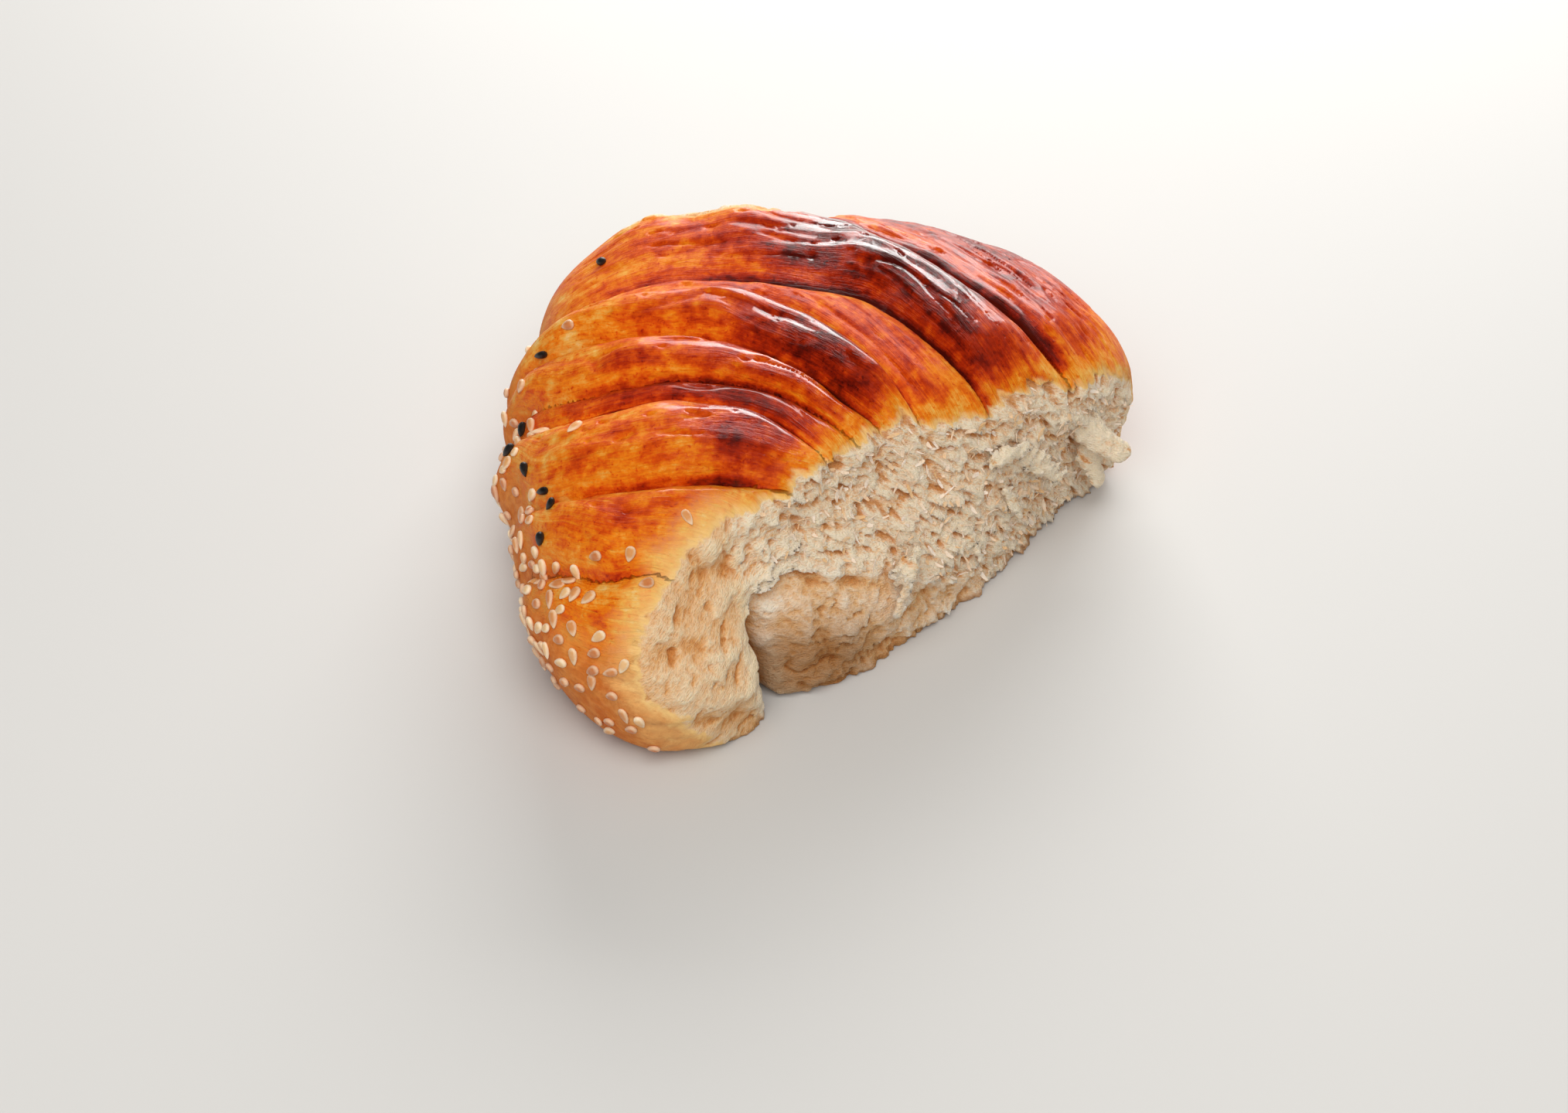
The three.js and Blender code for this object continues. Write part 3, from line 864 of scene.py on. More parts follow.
BAKE_STOPS = (
    (0.00, rgb(244, 212, 150)),
    (0.16, rgb(240, 178, 80)),
    (0.34, rgb(236, 130, 18)),
    (0.52, rgb(216, 80, 6)),
    (0.70, rgb(176, 42, 4)),
    (0.88, rgb(118, 20, 5)),
    (1.00, rgb(74, 11, 5)),
)
WALL_COLOR = (*rgb(206, 104, 36), 1.0)
WALL_PALE = (*rgb(230, 148, 74), 1.0)
BASE_COLOR = (*rgb(150, 84, 38), 1.0)
EDGE_COLOR = (*rgb(246, 204, 134), 1.0)
# CRUMB_HOLLOW_SHADE is painted shade for the crumb's hollows, and CRUMB_SHADE painted shade for the pocket
# under the lip.
CRUMB_COLOR = (*rgb(238, 190, 136), 1.0)
CRUMB_LIGHT = (*rgb(255, 240, 222), 1.0)
CRUMB_HOLLOW_SHADE = (*rgb(206, 132, 66), 1.0)
CRUMB_SHADE = (*rgb(190, 168, 144), 1.0)
CRUMB_WARM = (*rgb(255, 240, 216), 1.0)
FOOT_COLOR = (*rgb(176, 118, 66), 1.0)
# How far light travels in the crumb, and how deep the finest grain of the bread and of a seed's hull is.
CRUMB_GLOW = (0.0030, 0.0026, 0.0021)
GRAIN_DEPTH = 0.6 * MM
HULL_DEPTH = 0.2 * MM


def crust_shader(sheet, place, torn):
    """Egg-glazed crust: mottled, streaked along the strands, golden to mahogany, with painted shade in its
    seams.
    """
    grain = sheet.attribute("grain", "Vector")
    wall = sheet.attribute("wall")
    streak = sheet.noise(sheet.scaled(grain, (0.09, 0.95, 1.0)), 5.0, 0.62, 0.5)
    fine = sheet.noise(sheet.scaled(grain, (0.34, 2.8, 1.0)), 4.0, 0.6, 0.6)
    mottle = sheet.noise(sheet.scaled(place, (420.0, 420.0, 420.0)), 5.0, 0.65)
    speck = sheet.noise(sheet.scaled(place, (1300.0, 1300.0, 1300.0)), 2.0, 0.5)
    blotch = sheet.noise(sheet.scaled(place, (170.0, 170.0, 170.0)), 4.0, 0.6, 0.6)
    bake = sheet.attribute("bake") + (streak - 0.5) * 0.38 + (mottle - 0.5) * 0.70 + (blotch - 0.5) * 0.50
    bake = bake + speck.between(0.60, 0.74) * 0.14 + (fine - 0.5) * 0.30
    glaze = sheet.add("ShaderNodeValToRGB", {"stops": BAKE_STOPS}, {0: bake.clamped()})
    tan = sheet.mix((mottle + (fine - 0.5) * 0.4).between(0.35, 0.7), WALL_COLOR, WALL_PALE)
    color = sheet.mix(wall * 0.85, glaze, tan)
    color = sheet.mix(sheet.attribute("base"), color, BASE_COLOR)
    near = (torn + (streak - 0.5) * 3.0 + (mottle - 0.5) * 4.0).between(-2.0, 0.0)
    along_tear = sheet.part(sheet.attribute("fibre", "Vector"), "X")
    blush = (torn + (mottle - 0.5) * 8.0).between(-9.0, -0.5) * along_tear.between(2.0, -7.0)
    color = sheet.mix(blush * 0.5, color, EDGE_COLOR)
    color = sheet.mix(near * 0.85, color, EDGE_COLOR)
    gloss = sheet.attribute("gloss") * (1.0 - near) * (streak + mottle * 0.6).between(0.46, 0.78)
    wrinkle = sheet.noise(sheet.scaled(grain, (0.40, 1.1, 1.0)), 4.0, 0.65, 0.8)
    ripple = streak * 0.50 + fine * 0.45 + mottle * 0.30 + speck * 0.12 + wrinkle * gloss * 0.6
    bump = sheet.bump(ripple, GRAIN_DEPTH)
    rough = 0.60 - gloss * 0.46 + (mottle - 0.5) * 0.2
    inputs = {"Base Color": color, "Roughness": rough.clamped(), "Specular IOR Level": 0.14, "Normal": bump,
              "Coat Weight": gloss.clamped(), "Coat Roughness": 0.15, "Coat IOR": 1.5}
    return sheet.add("ShaderNodeBsdfPrincipled", {}, inputs)


def crumb_shader(sheet, place):
    """Soft, stretched white crumb, with painted light on its proud spots and painted shade in its hollows,
    towards its bottom and in the pocket under the lip.
    """
    grain = sheet.attribute("fibre", "Vector")
    fibre = sheet.noise(sheet.scaled(grain, (0.30, 0.5, 1.3)), 5.0, 0.7, 0.6)
    strand = sheet.noise(sheet.scaled(grain, (0.9, 1.2, 3.4)), 3.0, 0.65, 0.4)
    cell = sheet.noise(sheet.scaled(place, (1300.0, 1300.0, 1300.0)), 4.0, 0.65)
    cloud = sheet.noise(sheet.scaled(place, (120.0, 120.0, 120.0)), 3.0, 0.5)
    bubble = sheet.add("ShaderNodeTexVoronoi", {"feature": "DISTANCE_TO_EDGE"},
                       {"Vector": sheet.scaled(grain, (1.1, 1.1, 1.7)), "Scale": 1.0})
    pit = bubble.between(0.02, 0.35)
    stretched = sheet.attribute("stretched")
    web = (fibre - 0.5) * 1.6 + (strand - 0.5) * 1.0 + (cell - 0.5) * 0.8 - pit * 0.22
    relief = sheet.attribute("relief")
    # Painted shade towards the crumb's bottom, and deeper in the pocket under the lip by the notch.
    low = (sheet.part(grain, "Z") + 3.0).between(0.0, -14.0)
    along_tear = sheet.part(grain, "X")
    pocket_shade = low * along_tear.between(26.0, 8.0) * along_tear.between(-6.0, -4.0)
    # Paler where stretched and along its fibres, with painted light on proud spots and painted shade towards
    # the bottom.
    pale = relief * 0.6 + stretched * 0.62 + web * (0.5 + stretched * 0.8) + (cloud - 0.5) * 0.9
    pale = pale + 0.26 - low * 0.10
    color = sheet.mix(pale.clamped(), CRUMB_COLOR, CRUMB_LIGHT)
    # Painted shade: darker where the crumb lies back in hollows and towards its bottom, with random darker
    # patches from the cloud and fibre noise.
    hollow_shade = relief + (cloud - 0.5) * 0.8 + web * 0.4 - low * 0.12
    color = sheet.mix(hollow_shade.between(-0.15, -1.1) * (0.85 - stretched * 0.25), color, CRUMB_HOLLOW_SHADE)
    # Painted shade in the pocket under the lip.
    color = sheet.mix(pocket_shade, color, CRUMB_SHADE, "MULTIPLY")
    warm = stretched * 0.55 + along_tear.between(-5.0, -9.0) * 0.7
    color = sheet.mix(warm.clamped(), color, CRUMB_WARM, "MULTIPLY")
    foot = (sheet.part(place, "Z") + (cloud - 0.5) * 0.003).between(0.0016, 0.0004)
    color = sheet.mix(foot * 0.8, color, FOOT_COLOR)
    height = fibre * 0.6 + strand * 0.4 + cell * 0.85 - pit * 0.25
    bump = sheet.bump(height, GRAIN_DEPTH)
    inputs = {"Base Color": color, "Roughness": 0.9, "Normal": bump, "Subsurface Weight": 0.45,
              "Subsurface Radius": CRUMB_GLOW, "Subsurface Scale": 0.7, "Specular IOR Level": 0.2}
    return sheet.add("ShaderNodeBsdfPrincipled", {"subsurface_method": "RANDOM_WALK"}, inputs)


def bread_material():
    material, sheet = new_material("baked_bread")
    place = sheet.add("ShaderNodeTexCoord", {}, {}, "Object")
    torn = sheet.attribute("torn")
    ragged = sheet.noise(sheet.scaled(place, (500.0, 500.0, 500.0)), 3.0, 0.6)
    factor = (torn + (ragged - 0.5) * 3.0).between(-0.5, 0.5)
    crust = crust_shader(sheet, place, torn)
    crumb = crumb_shader(sheet, place)
    finish_material(sheet, sheet.add("ShaderNodeMixShader", {}, {0: factor, 1: crust, 2: crumb}))
    return material


def flake_material():
    """Thin pale scraps of crumb."""
    material, sheet = new_material("crumb_flake")
    place = sheet.add("ShaderNodeTexCoord", {}, {}, "Object")
    cloud = sheet.noise(sheet.scaled(place, (300.0, 300.0, 300.0)), 3.0, 0.6)
    pale = (cloud + (sheet.attribute("tone") - 0.5) * 0.5).between(0.1, 0.9)
    color = sheet.mix(pale, CRUMB_COLOR, CRUMB_LIGHT)
    grain = sheet.noise(sheet.scaled(place, (1400.0, 1400.0, 1400.0)), 3.0, 0.6)
    bump = sheet.bump(grain, GRAIN_DEPTH / 2.0)
    inputs = {"Base Color": color, "Roughness": 0.9, "Normal": bump, "Subsurface Weight": 0.25,
              "Subsurface Radius": CRUMB_GLOW, "Subsurface Scale": 0.35, "Specular IOR Level": 0.2}
    finish_material(sheet, sheet.add("ShaderNodeBsdfPrincipled", {}, inputs))
    return material


def seed_material(name, colors, pale, roughness):
    """Seed hull whose colour runs between three tones from one seed to the next, paler at its rim."""
    material, sheet = new_material(name)
    place = sheet.add("ShaderNodeTexCoord", {}, {}, "Object")
    tone = sheet.attribute("tone")
    cloud = sheet.noise(sheet.scaled(place, (900.0, 900.0, 900.0)), 3.0, 0.6)
    stops = tuple(zip((0.0, 0.5, 1.0), colors))
    mixed = (tone + (cloud - 0.5) * 0.35).clamped()
    color = sheet.add("ShaderNodeValToRGB", {"stops": stops}, {0: mixed})
    color = sheet.mix(sheet.attribute("rim") * (1.0 - tone * 0.5), color, (*pale, 1.0))
    bump = sheet.bump(cloud, HULL_DEPTH, 0.6)
    inputs = {"Base Color": color, "Roughness": roughness, "Normal": bump, "Coat Weight": 0.3,
              "Coat Roughness": 0.25}
    finish_material(sheet, sheet.add("ShaderNodeBsdfPrincipled", {}, inputs))
    return material


# ---------------------------------------------------------------- seeds
# How far out of the solid bread the crust is looked for, and how low a seed may lie.
SEED_PROUD = 3.0 * MM
SEED_LOWEST = 5.0 * MM
# Shares of a seed's half length: its half width, its half thickness and its lift; then how much its tail
# is thicker than its point, and how square its edge is.
SESAME_SHAPE = (0.58, 0.34, 0.16, 0.34, 0.8)
NIGELLA_SHAPE = (0.56, 0.48, 0.2, 0.30, 1.0)
SESAME_COLORS = (rgb(238, 196, 142), rgb(228, 164, 100), rgb(198, 112, 58))
SESAME_RIM = rgb(252, 232, 200)
NIGELLA_COLORS = (rgb(16, 15, 16), rgb(24, 22, 22), rgb(34, 31, 30))
# The turns and sizes that seeds and flakes are strewn with.
SEED_LAY = {"Tilt": (0.22, 0.22, 0.9), "Smallest": (0.84, 0.80, 0.85), "Largest": (1.08, 1.05, 1.2)}
FLAKE_LAY = {"Tilt": (0.5, 0.5, 1.5), "Smallest": (0.35, 0.4, 0.5), "Largest": (1.5, 1.4, 1.5)}
FLAKES_MOST = 500000.0
# Bare crust left around each seed that has its own place.
SEED_CLEAR = 3.0
STREW_INPUTS = (
    ("Geometry", "NodeSocketGeometry"), ("Surface", "NodeSocketObject"), ("Seed", "NodeSocketObject"),
    ("Spacing", "NodeSocketFloat"), ("Most", "NodeSocketFloat"), ("Density", "NodeSocketString"),
    ("Tilt", "NodeSocketVector"), ("Smallest", "NodeSocketVector"), ("Largest", "NodeSocketVector"),
    ("Material", "NodeSocketMaterial"),
)


def seed_template(name, length, shape, around=12, rings=7):
    """A closed teardrop that lies flat, its point along +X, lifted so that little of it is sunk in."""
    reach = length / 2.0
    width, thick, lift, taper, edge = shape
    half, lift = (reach, reach * width, reach * thick), reach * lift
    points = [(-reach, 0.0, lift)]
    for ring in range(1, rings):
        angle = math.pi * ring / rings
        x = -math.cos(angle)
        girth = math.sin(angle) * (1.0 - taper * x)
        for step in range(around):
            turn = 2.0 * math.pi * step / around
            flat = math.copysign(abs(math.sin(turn)) ** edge, math.sin(turn))
            points.append((x * half[0], math.cos(turn) * girth * half[1], flat * girth * half[2] + lift))
    points.append((reach * 1.08, 0.0, lift))
    tip = len(points) - 1
    faces = [(0, 1 + (s + 1) % around, 1 + s) for s in range(around)]
    for ring in range(rings - 2):
        a, b = 1 + ring * around, 1 + (ring + 1) * around
        faces += [(a + s, a + (s + 1) % around, b + (s + 1) % around, b + s) for s in range(around)]
    last = 1 + (rings - 2) * around
    faces += [(last + s, last + (s + 1) % around, tip) for s in range(around)]
    seed = new_object(name, points, faces)
    height = (np.array(points)[:, 2] - lift) / half[2]
    set_attribute(seed, "rim", ramp(0.80, 0.45, np.abs(height)))
    smooth_faces(seed)
    return seed


NUMBER = {"data_type": "FLOAT"}
VECTOR = {"data_type": "FLOAT_VECTOR"}


def seed_points(tree, sheet, given):
    """The given points, and more strewn over the surface by its density mark."""
    surface = sheet.add("GeometryNodeObjectInfo", {}, {"Object": given["Surface"]}, "Geometry")
    density = sheet.add("GeometryNodeInputNamedAttribute", NUMBER, {"Name": given["Density"]})
    inputs = {"Mesh": surface, "Distance Min": given["Spacing"], "Density Max": given["Most"],
              "Density Factor": density, "Seed": 11}
    scatter = sheet.add("GeometryNodeDistributePointsOnFaces", {"distribute_method": "POISSON"}, inputs)
    spread = Wire(sheet, scatter.socket.node.outputs["Normal"])
    strewn = sheet.add("GeometryNodeStoreNamedAttribute", {**VECTOR, "domain": "POINT"},
                       {"Geometry": scatter, "Name": "facing", "Value": spread})
    joined = tree.nodes.new("GeometryNodeJoinGeometry")
    cloud = sheet.add("GeometryNodeMeshToPoints", {}, {"Mesh": given["Geometry"]})
    for source in (strewn, cloud):
        tree.links.new(source.socket, joined.inputs[0])
    return Wire(sheet, joined.outputs[0])


def seed_turn(sheet, given):
    """Each seed lies flat on the surface with its point down, and is tilted a little at random."""
    facing = sheet.add("GeometryNodeInputNamedAttribute", VECTOR, {"Name": "facing"})
    upright = sheet.add("FunctionNodeAlignRotationToVector", {"axis": "Z"}, {"Vector": facing})
    upright = sheet.add("FunctionNodeAlignRotationToVector", {"axis": "X", "pivot_axis": "Z"},
                        {"Rotation": upright, "Vector": (-0.25, -0.1, -1.0)})
    back = sheet.add("ShaderNodeVectorMath", {"operation": "SCALE"}, {0: given["Tilt"], "Scale": -1.0})
    tilt = sheet.add("FunctionNodeRandomValue", VECTOR, {"Min": back, "Max": given["Tilt"], "Seed": 5})
    tilt = sheet.add("FunctionNodeEulerToRotation", {}, {0: tilt})
    return sheet.add("FunctionNodeRotateRotation", {"rotation_space": "LOCAL"},
                     {"Rotation": upright, "Rotate By": tilt})


def strew_tree():
    """Geometry nodes: seeds on given points, and more strewn over a surface by its density mark."""
    tree = bpy.data.node_groups.new("Strew Seeds", "GeometryNodeTree")
    for name, kind in STREW_INPUTS:
        tree.interface.new_socket(name, in_out="INPUT", socket_type=kind)
    tree.interface.new_socket("Geometry", in_out="OUTPUT", socket_type="NodeSocketGeometry")
    sheet = Sheet(tree)
    enter = tree.nodes.new("NodeGroupInput")
    given = {s.name: Wire(sheet, s) for s in enter.outputs if s.name}
    points, turn = seed_points(tree, sheet, given), seed_turn(sheet, given)
    seed = sheet.add("GeometryNodeObjectInfo", {}, {"Object": given["Seed"]}, "Geometry")
    size = sheet.add("FunctionNodeRandomValue", VECTOR,
                     {"Min": given["Smallest"], "Max": given["Largest"], "Seed": 8})
    placed = sheet.add("GeometryNodeInstanceOnPoints", {},
                       {"Points": points, "Instance": seed, "Rotation": turn, "Scale": size})
    tone = sheet.add("FunctionNodeRandomValue", NUMBER, {2: 0.0, 3: 1.0, "Seed": 3}, 1)
    toned = sheet.add("GeometryNodeStoreNamedAttribute", {**NUMBER, "domain": "INSTANCE"},
                      {"Geometry": placed, "Name": "tone", "Value": tone})
    real = sheet.add("GeometryNodeRealizeInstances", {}, {"Geometry": toned})
    finished = sheet.add("GeometryNodeSetMaterial", {}, {"Geometry": real, "Material": given["Material"]})
    leave = tree.nodes.new("NodeGroupOutput")
    tree.links.new(finished.socket, leave.inputs[0])
    return tree


def strew(name, points, facings, template, inputs):
    """One piece made of all its copies: at the given points, and strewn where the surface is marked."""
    piece = new_object(name, points, [])
    if len(points):
        set_attribute(piece, "facing", facings)
    modifier = piece.modifiers.new("Strew", "NODES")
    modifier.node_group = strew_tree()
    values = {**inputs, "Seed": template}
    for item in modifier.node_group.interface.items_tree:
        if item.in_out == "INPUT" and item.name in values:
            modifier[item.identifier] = values[item.name]
    applied(piece)
    template_mesh = template.data
    bpy.data.objects.remove(template)
    bpy.data.meshes.remove(template_mesh)
    if not piece.data.vertices:
        raise RuntimeError(f"{name} came out empty")
    return piece


def flake_template(columns=5):
    """A small torn shred of crumb, thin and jagged, that lifts off at one end."""
    points = []
    for side in (1.0, -1.0):
        for i in range(columns):
            for v in (-1.0, 1.0):
                u = 2.0 * i / (columns - 1) - 1.0
                jag = noise.noise((u * 2.3, v * 2.9, 4.0))
                wide = 0.34 * (1.0 - 0.55 * u * u) * (1.0 + 0.9 * jag)
                lift = 0.16 * (u + 1.0) ** 1.6 - 0.08 + 0.15 * noise.noise((u * 1.7, v * 1.7, 9.0))
                points.append((u * (1.0 + 0.2 * jag), v * wide + 0.2 * jag, lift + side * 0.05))
    return new_object("flake_template", points, strip_faces(columns))


def strip_faces(columns):
    """Faces of a thin closed strip: two rows of points above, the same two below, and the rim between."""
    below = 2 * columns
    faces = []
    for first in range(0, below - 2, 2):
        quad = (first, first + 2, first + 3, first + 1)
        faces += [quad, tuple(below + n for n in reversed(quad))]
    rim = list(range(0, below, 2)) + list(range(below - 1, 0, -2))
    faces += [(b, a, below + a, below + b) for a, b in zip(rim, rim[1:] + rim[:1])]
    return faces


def seed_places(prefix, surface_tree):
    """Where the solid seeds of one kind lie, brought onto the finished crust, and how they face."""
    nodes = sorted(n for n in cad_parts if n.startswith(prefix))
    points, facings = [], []
    for node in nodes:
        low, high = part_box(node)
        middle = (low + high) / 2
        outward = middle - Vector((CROWN[0] * MM, CROWN[1] * MM, WIDEST * MM))
        place, _, _, _ = surface_tree.find_nearest(middle + outward.normalized() * SEED_PROUD)
        place.z = max(place.z, SEED_LOWEST)
        place, normal, _, _ = surface_tree.find_nearest(place)
        points.append(place / MM)
        facings.append(normal)
    return nodes, np.array(points), np.array(facings)


# ---------------------------------------------------------------- user settings
class BreadSettings(bpy.types.PropertyGroup):
    step: bpy.props.FloatProperty(
        name="Grid Step", description="Finest detail of the bread's surface", default=0.45 * MM,
        min=0.3 * MM, max=3.0 * MM, unit="LENGTH")
    triangles: bpy.props.IntProperty(
        name="Triangles", description="Triangles left after thinning", default=190000, min=5000)
    flake_spacing: bpy.props.FloatProperty(
        name="Flake Spacing", description="Least distance between flakes of crumb", default=1.2 * MM,
        unit="LENGTH")


class SeedSettings(bpy.types.PropertyGroup):
    sesame_length: bpy.props.FloatProperty(
        name="Sesame Length", description="Length of a sesame seed", default=3.4 * MM, unit="LENGTH")
    nigella_length: bpy.props.FloatProperty(
        name="Nigella Length", description="Length of a nigella seed", default=3.3 * MM, unit="LENGTH")
    spacing: bpy.props.FloatProperty(
        name="Spacing", description="Least distance between strewn seeds", default=2.0 * MM, unit="LENGTH")
    density: bpy.props.FloatProperty(
        name="Density", description="Most strewn seeds on a square metre", default=170000.0)


class StageSettings(bpy.types.PropertyGroup):
    floor_color: bpy.props.FloatVectorProperty(
        name="Floor Colour", description="Colour of the plain floor", default=(0.62, 0.615, 0.60),
        subtype="COLOR", size=3)
    window_power: bpy.props.FloatProperty(
        name="Window Light", description="Power of the soft light behind", default=7.2, unit="POWER")
    fill_power: bpy.props.FloatProperty(
        name="Fill Light", description="Power of the soft light in front", default=8.6, unit="POWER")


# ---------------------------------------------------------------- operators
class CROISSANT_OT_bread(bpy.types.Operator):
    """Make the bread: its pleated, glazed crust and its torn crumb"""

    bl_idname = "croissant.bread"
    bl_label = "Bread"

    def execute(self, context):
        settings = context.scene.croissant_bread
        step = settings.step / MM
        low, high = (np.array(corner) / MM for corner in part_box("bread"))
        x, y = (np.arange(low[a] - GRID_MARGIN, high[a] + GRID_MARGIN, step) for a in (0, 1))
        z = np.arange(-2.0 * step - GRID_OFFSET, high[2] + GRID_MARGIN, step)
        grid = x[:, None, None], y[None, :, None], z[None, None, :]
        field = bread_distance(*grid).astype(np.float32)
        vertices, quads = surface_net(field, (x[0], y[0], z[0]), step)
        bread = new_object("bread_crust_and_crumb", vertices, quads)
        keep_largest(bread)
        thin = bread.modifiers.new("Thin", "DECIMATE")
        thin.ratio = min(1.0, settings.triangles / (2.0 * len(quads)))
        applied(bread)
        smooth_faces(bread)
        mark_bread(bread)
        bread.data.materials.append(bread_material())
        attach(bread, BODY)
        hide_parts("bread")
        return {"FINISHED"}


def keep_largest(obj):
    """Drops crumbs that hang in the air, free of the bread."""
    mesh = obj.data
    count = len(mesh.vertices)
    edges = np.zeros(len(mesh.edges) * 2, np.int32)
    mesh.edges.foreach_get("vertices", edges)
    edges = edges.reshape(-1, 2)
    label = np.arange(count)
    while True:
        lowest = np.minimum(label[edges[:, 0]], label[edges[:, 1]])
        new = label.copy()
        np.minimum.at(new, edges[:, 0], lowest)
        np.minimum.at(new, edges[:, 1], lowest)
        new = new[new]
        if np.array_equal(new, label):
            break
        label = new
    names, sizes = np.unique(label, return_counts=True)
    keep = label == names[np.argmax(sizes)]
    if keep.all():
        return
    work = bmesh.new()
    work.from_mesh(mesh)
    work.verts.ensure_lookup_table()
    bmesh.ops.delete(work, geom=[work.verts[i] for i in np.flatnonzero(~keep)], context="VERTS")
    work.to_mesh(mesh)
    work.free()


class CROISSANT_OT_sesame(bpy.types.Operator):
    """Strew the sesame seeds over the closed end"""

    bl_idname = "croissant.sesame"
    bl_label = "Sesame Seeds"

    def execute(self, context):
        settings = context.scene.croissant_seeds
        bread = bpy.data.objects["bread_crust_and_crumb"]
        template = seed_template("sesame_template", settings.sesame_length / MM, SESAME_SHAPE)
        hull = seed_material("sesame_hull", SESAME_COLORS, SESAME_RIM, 0.4)
        tree = BVHTree.FromObject(bread, bpy.context.evaluated_depsgraph_get())
        nodes, points, facings = seed_places("sesame", tree)
        _, black, _ = seed_places("nigella", tree)
        mark_seed_density(bread, np.concatenate([points, black]))
        inputs = {"Surface": bread, "Spacing": settings.spacing, "Most": settings.density,
                  "Density": "seed_density", "Material": hull, **SEED_LAY}
        piece = strew("sesame_seeds", points, facings, template, inputs)
        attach(piece, BODY)
        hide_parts(*nodes)
        return {"FINISHED"}


def mark_seed_density(bread, taken):
    """Seeds lie thick on the closed end's wall and thin out over its shoulder."""
    points = vertex_points(bread)
    x, y, z = points.T
    bearing = np.degrees(np.arctan2(y - CROWN[1], x - CROWN[0])) % 360.0
    torn = np.zeros(len(points), np.float32)
    bread.data.attributes["torn"].data.foreach_get("value", torn)
    band, stray_band = (ramp(*back, bearing) * ramp(*front, bearing) for back, front in (SEEDED, STRAYS))
    thick = ramp(*DENSER, bearing)
    high = ramp(35.0 + 5.0 * thick, 24.0 + 2.0 * thick, z)
    density = band * (0.55 + 0.35 * thick) * high
    stray = STRAY_SHARE * stray_band * ramp(*STRAY_HEIGHTS, z)
    density = np.maximum(density, stray) * ramp(-2.0, -6.0, torn) * ramp(*LOWEST_SEEDS, z)
    for place in taken:
        density *= np.linalg.norm(points - place, axis=1) > SEED_CLEAR
    set_attribute(bread, "seed_density", density)


class CROISSANT_OT_nigella(bpy.types.Operator):
    """Set the black nigella seeds on the closed end"""

    bl_idname = "croissant.nigella"
    bl_label = "Nigella Seeds"

    def execute(self, context):
        settings = context.scene.croissant_seeds
        bread = bpy.data.objects["bread_crust_and_crumb"]
        template = seed_template("nigella_template", settings.nigella_length / MM, NIGELLA_SHAPE)
        hull = seed_material("nigella_hull", NIGELLA_COLORS, NIGELLA_COLORS[2], 0.5)
        tree = BVHTree.FromObject(bread, bpy.context.evaluated_depsgraph_get())
        nodes, points, facings = seed_places("nigella", tree)
        inputs = {"Surface": bread, "Spacing": 1.0, "Most": 0.0, "Density": "seed_density",
                  "Material": hull, **SEED_LAY}
        piece = strew("nigella_seeds", points, facings, template, inputs)
        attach(piece, BODY)
        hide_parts(*nodes)
        return {"FINISHED"}


class CROISSANT_OT_flakes(bpy.types.Operator):
    """Cling small torn flakes to the crumb"""

    bl_idname = "croissant.flakes"
    bl_label = "Crumb Flakes"

    def execute(self, context):
        settings = context.scene.croissant_bread
        bread = bpy.data.objects["bread_crust_and_crumb"]
        inputs = {"Surface": bread, "Spacing": settings.flake_spacing, "Most": FLAKES_MOST,
                  "Density": "flake_density", "Material": flake_material(), **FLAKE_LAY}
        piece = strew("crumb_flakes", [], [], flake_template(), inputs)
        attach(piece, BODY)
        return {"FINISHED"}


# The stage, in metres: half the floor, the two soft lights as place, target, size and colour, the room's
# own light, and a camera that looks at the bread's middle from its front.
FLOOR_HALF = 1.5
WINDOW = ((0.10, 0.70, 0.32), (0.0, 0.0, 0.03), (0.66, 0.42), (1.0, 0.98, 0.96))
FILL = ((-0.05, -0.50, 0.85), (0.0, 0.0, 0.02), (0.9, 0.9), (1.0, 0.98, 0.95))
ROOM_COLOR = (1.0, 0.99, 0.97, 1.0)
ROOM_LIGHT = 0.25
CAMERA_LENS = 70.0
CAMERA_SENSOR = 36.0
CAMERA_DISTANCE = 0.615
CAMERA_ELEVATION = math.radians(44.0)


def area_light(name, setting, power, glossy):
    place, target, size, color = setting
    light = bpy.data.lights.new(name, "AREA")
    light.shape = "RECTANGLE"
    light.size, light.size_y = size
    light.energy = power
    light.color = color
    obj = bpy.data.objects.new(name, light)
    obj.location = place
    obj.rotation_euler = (Vector(target) - Vector(place)).to_track_quat("-Z", "Y").to_euler()
    obj.visible_glossy = glossy
    bpy.context.scene.collection.objects.link(obj)


def pale_floor(color):
    half = FLOOR_HALF / MM
    corners = [(-half, -half, 0), (half, -half, 0), (half, half, 0), (-half, half, 0)]
    floor = new_object("floor", corners, [(0, 1, 2, 3)])
    material, sheet = new_material("pale_floor")
    inputs = {"Base Color": (*color, 1.0), "Roughness": 0.6}
    finish_material(sheet, sheet.add("ShaderNodeBsdfPrincipled", {}, inputs))
    floor.data.materials.append(material)
    return floor


def room_light(scene):
    """Even light from all sides that the glaze doesn't mirror; its visibility needs the scene's world."""
    world = bpy.data.worlds.new("room")
    world.use_nodes = True
    background = world.node_tree.nodes["Background"]
    background.inputs["Color"].default_value = ROOM_COLOR
    background.inputs["Strength"].default_value = ROOM_LIGHT
    scene.world = world
    world.cycles_visibility.glossy = False


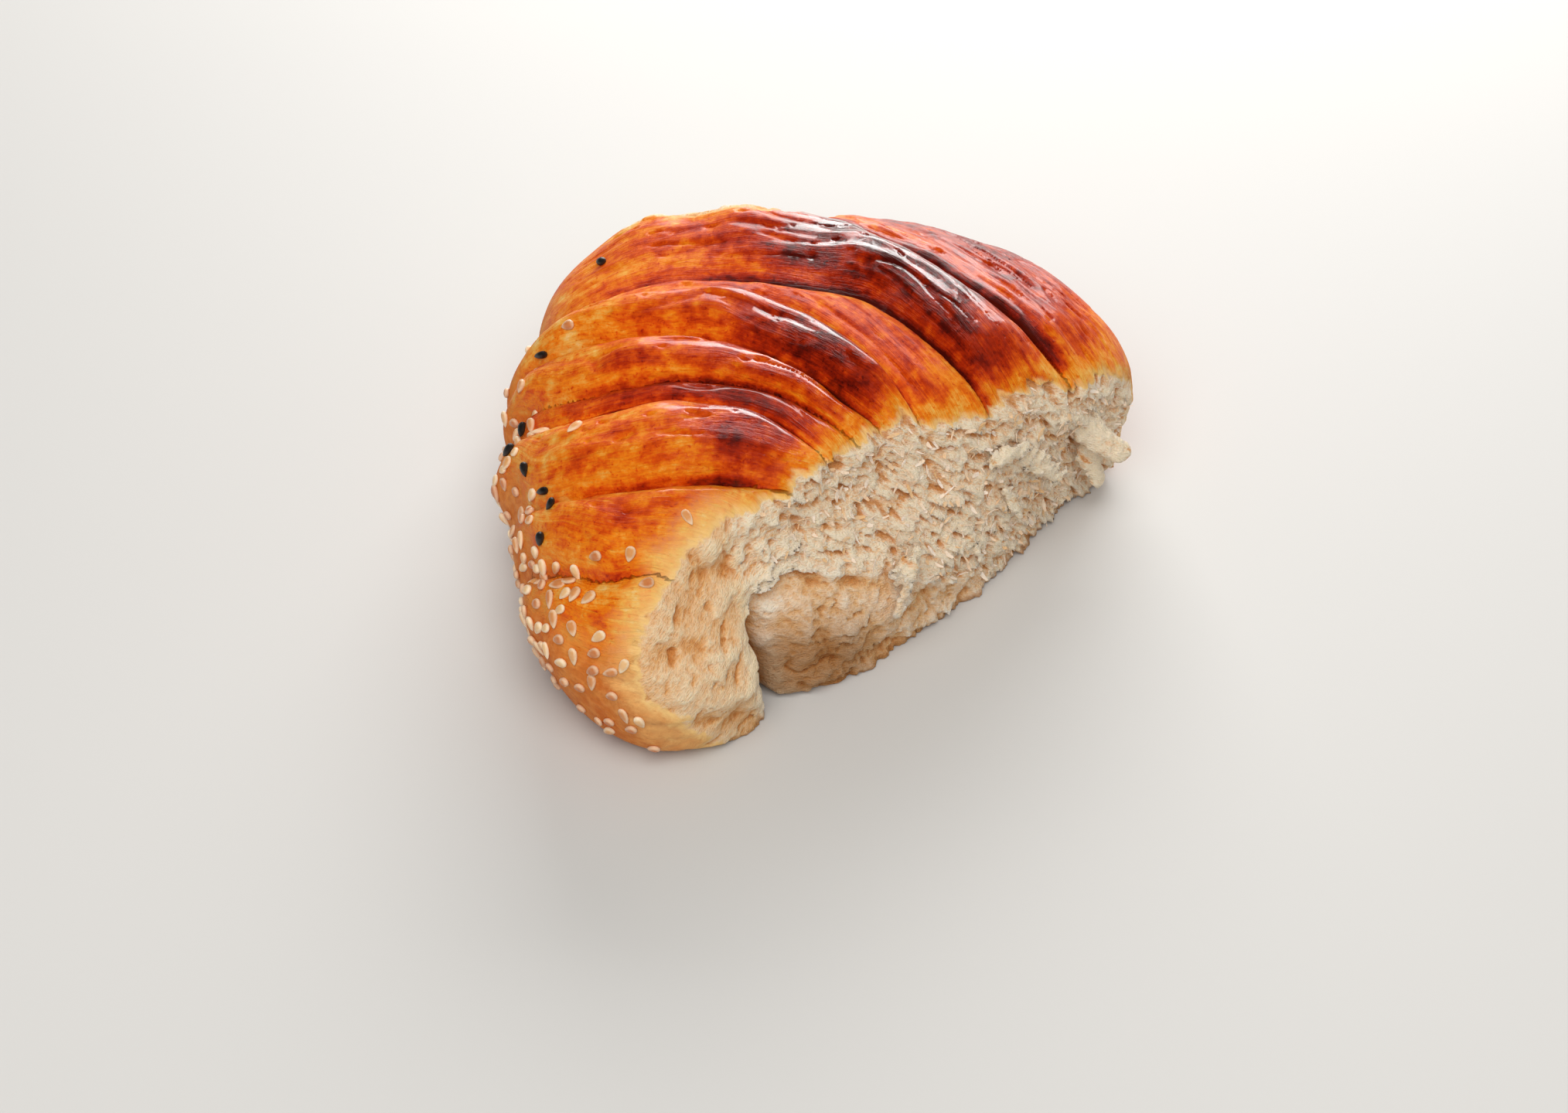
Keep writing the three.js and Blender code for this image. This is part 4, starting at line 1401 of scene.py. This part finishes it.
def front_camera():
    camera = bpy.data.objects.new("camera", bpy.data.cameras.new("camera"))
    camera.data.lens = CAMERA_LENS
    camera.data.sensor_width = CAMERA_SENSOR
    back, up = CAMERA_DISTANCE * math.cos(CAMERA_ELEVATION), CAMERA_DISTANCE * math.sin(CAMERA_ELEVATION)
    camera.location = (MIDDLE[0] * MM, MIDDLE[1] * MM - back, up)
    camera.rotation_euler = (math.pi / 2 - CAMERA_ELEVATION, 0.0, 0.0)
    bpy.context.scene.collection.objects.link(camera)
    return camera


class CROISSANT_OT_stage(bpy.types.Operator):
    """Set out the pale floor, the soft light and the camera"""

    bl_idname = "croissant.stage"
    bl_label = "Stage"

    def execute(self, context):
        settings = context.scene.croissant_stage
        floor = pale_floor(settings.floor_color)
        area_light("window", WINDOW, settings.window_power, True)
        area_light("fill", FILL, settings.fill_power, False)
        room_light(context.scene)
        context.scene.camera = front_camera()
        context.scene.view_settings.view_transform = "Standard"
        return {"FINISHED"}


class CROISSANT_PT_panel(bpy.types.Panel):
    bl_label = "Croissant"
    bl_space_type = "VIEW_3D"
    bl_region_type = "UI"
    bl_category = "Croissant"

    def draw(self, context):
        for settings in (context.scene.croissant_bread, context.scene.croissant_seeds,
                         context.scene.croissant_stage):
            box = self.layout.box()
            for name in settings.__annotations__:
                box.prop(settings, name)
        for operator in OPERATORS:
            self.layout.operator(operator.bl_idname)


OPERATORS = (CROISSANT_OT_bread, CROISSANT_OT_flakes, CROISSANT_OT_sesame, CROISSANT_OT_nigella,
             CROISSANT_OT_stage)
CLASSES = (BreadSettings, SeedSettings, StageSettings, *OPERATORS, CROISSANT_PT_panel)


def register():
    for cls in CLASSES:
        bpy.utils.register_class(cls)
    bpy.types.Scene.croissant_bread = bpy.props.PointerProperty(type=BreadSettings)
    bpy.types.Scene.croissant_seeds = bpy.props.PointerProperty(type=SeedSettings)
    bpy.types.Scene.croissant_stage = bpy.props.PointerProperty(type=StageSettings)


def unregister():
    del bpy.types.Scene.croissant_stage
    del bpy.types.Scene.croissant_seeds
    del bpy.types.Scene.croissant_bread
    for cls in reversed(CLASSES):
        bpy.utils.unregister_class(cls)


def main():
    register()
    bpy.ops.croissant.bread()
    bpy.ops.croissant.flakes()
    bpy.ops.croissant.sesame()
    bpy.ops.croissant.nigella()
    bpy.ops.croissant.stage()


if __name__ == "__main__":
    main()
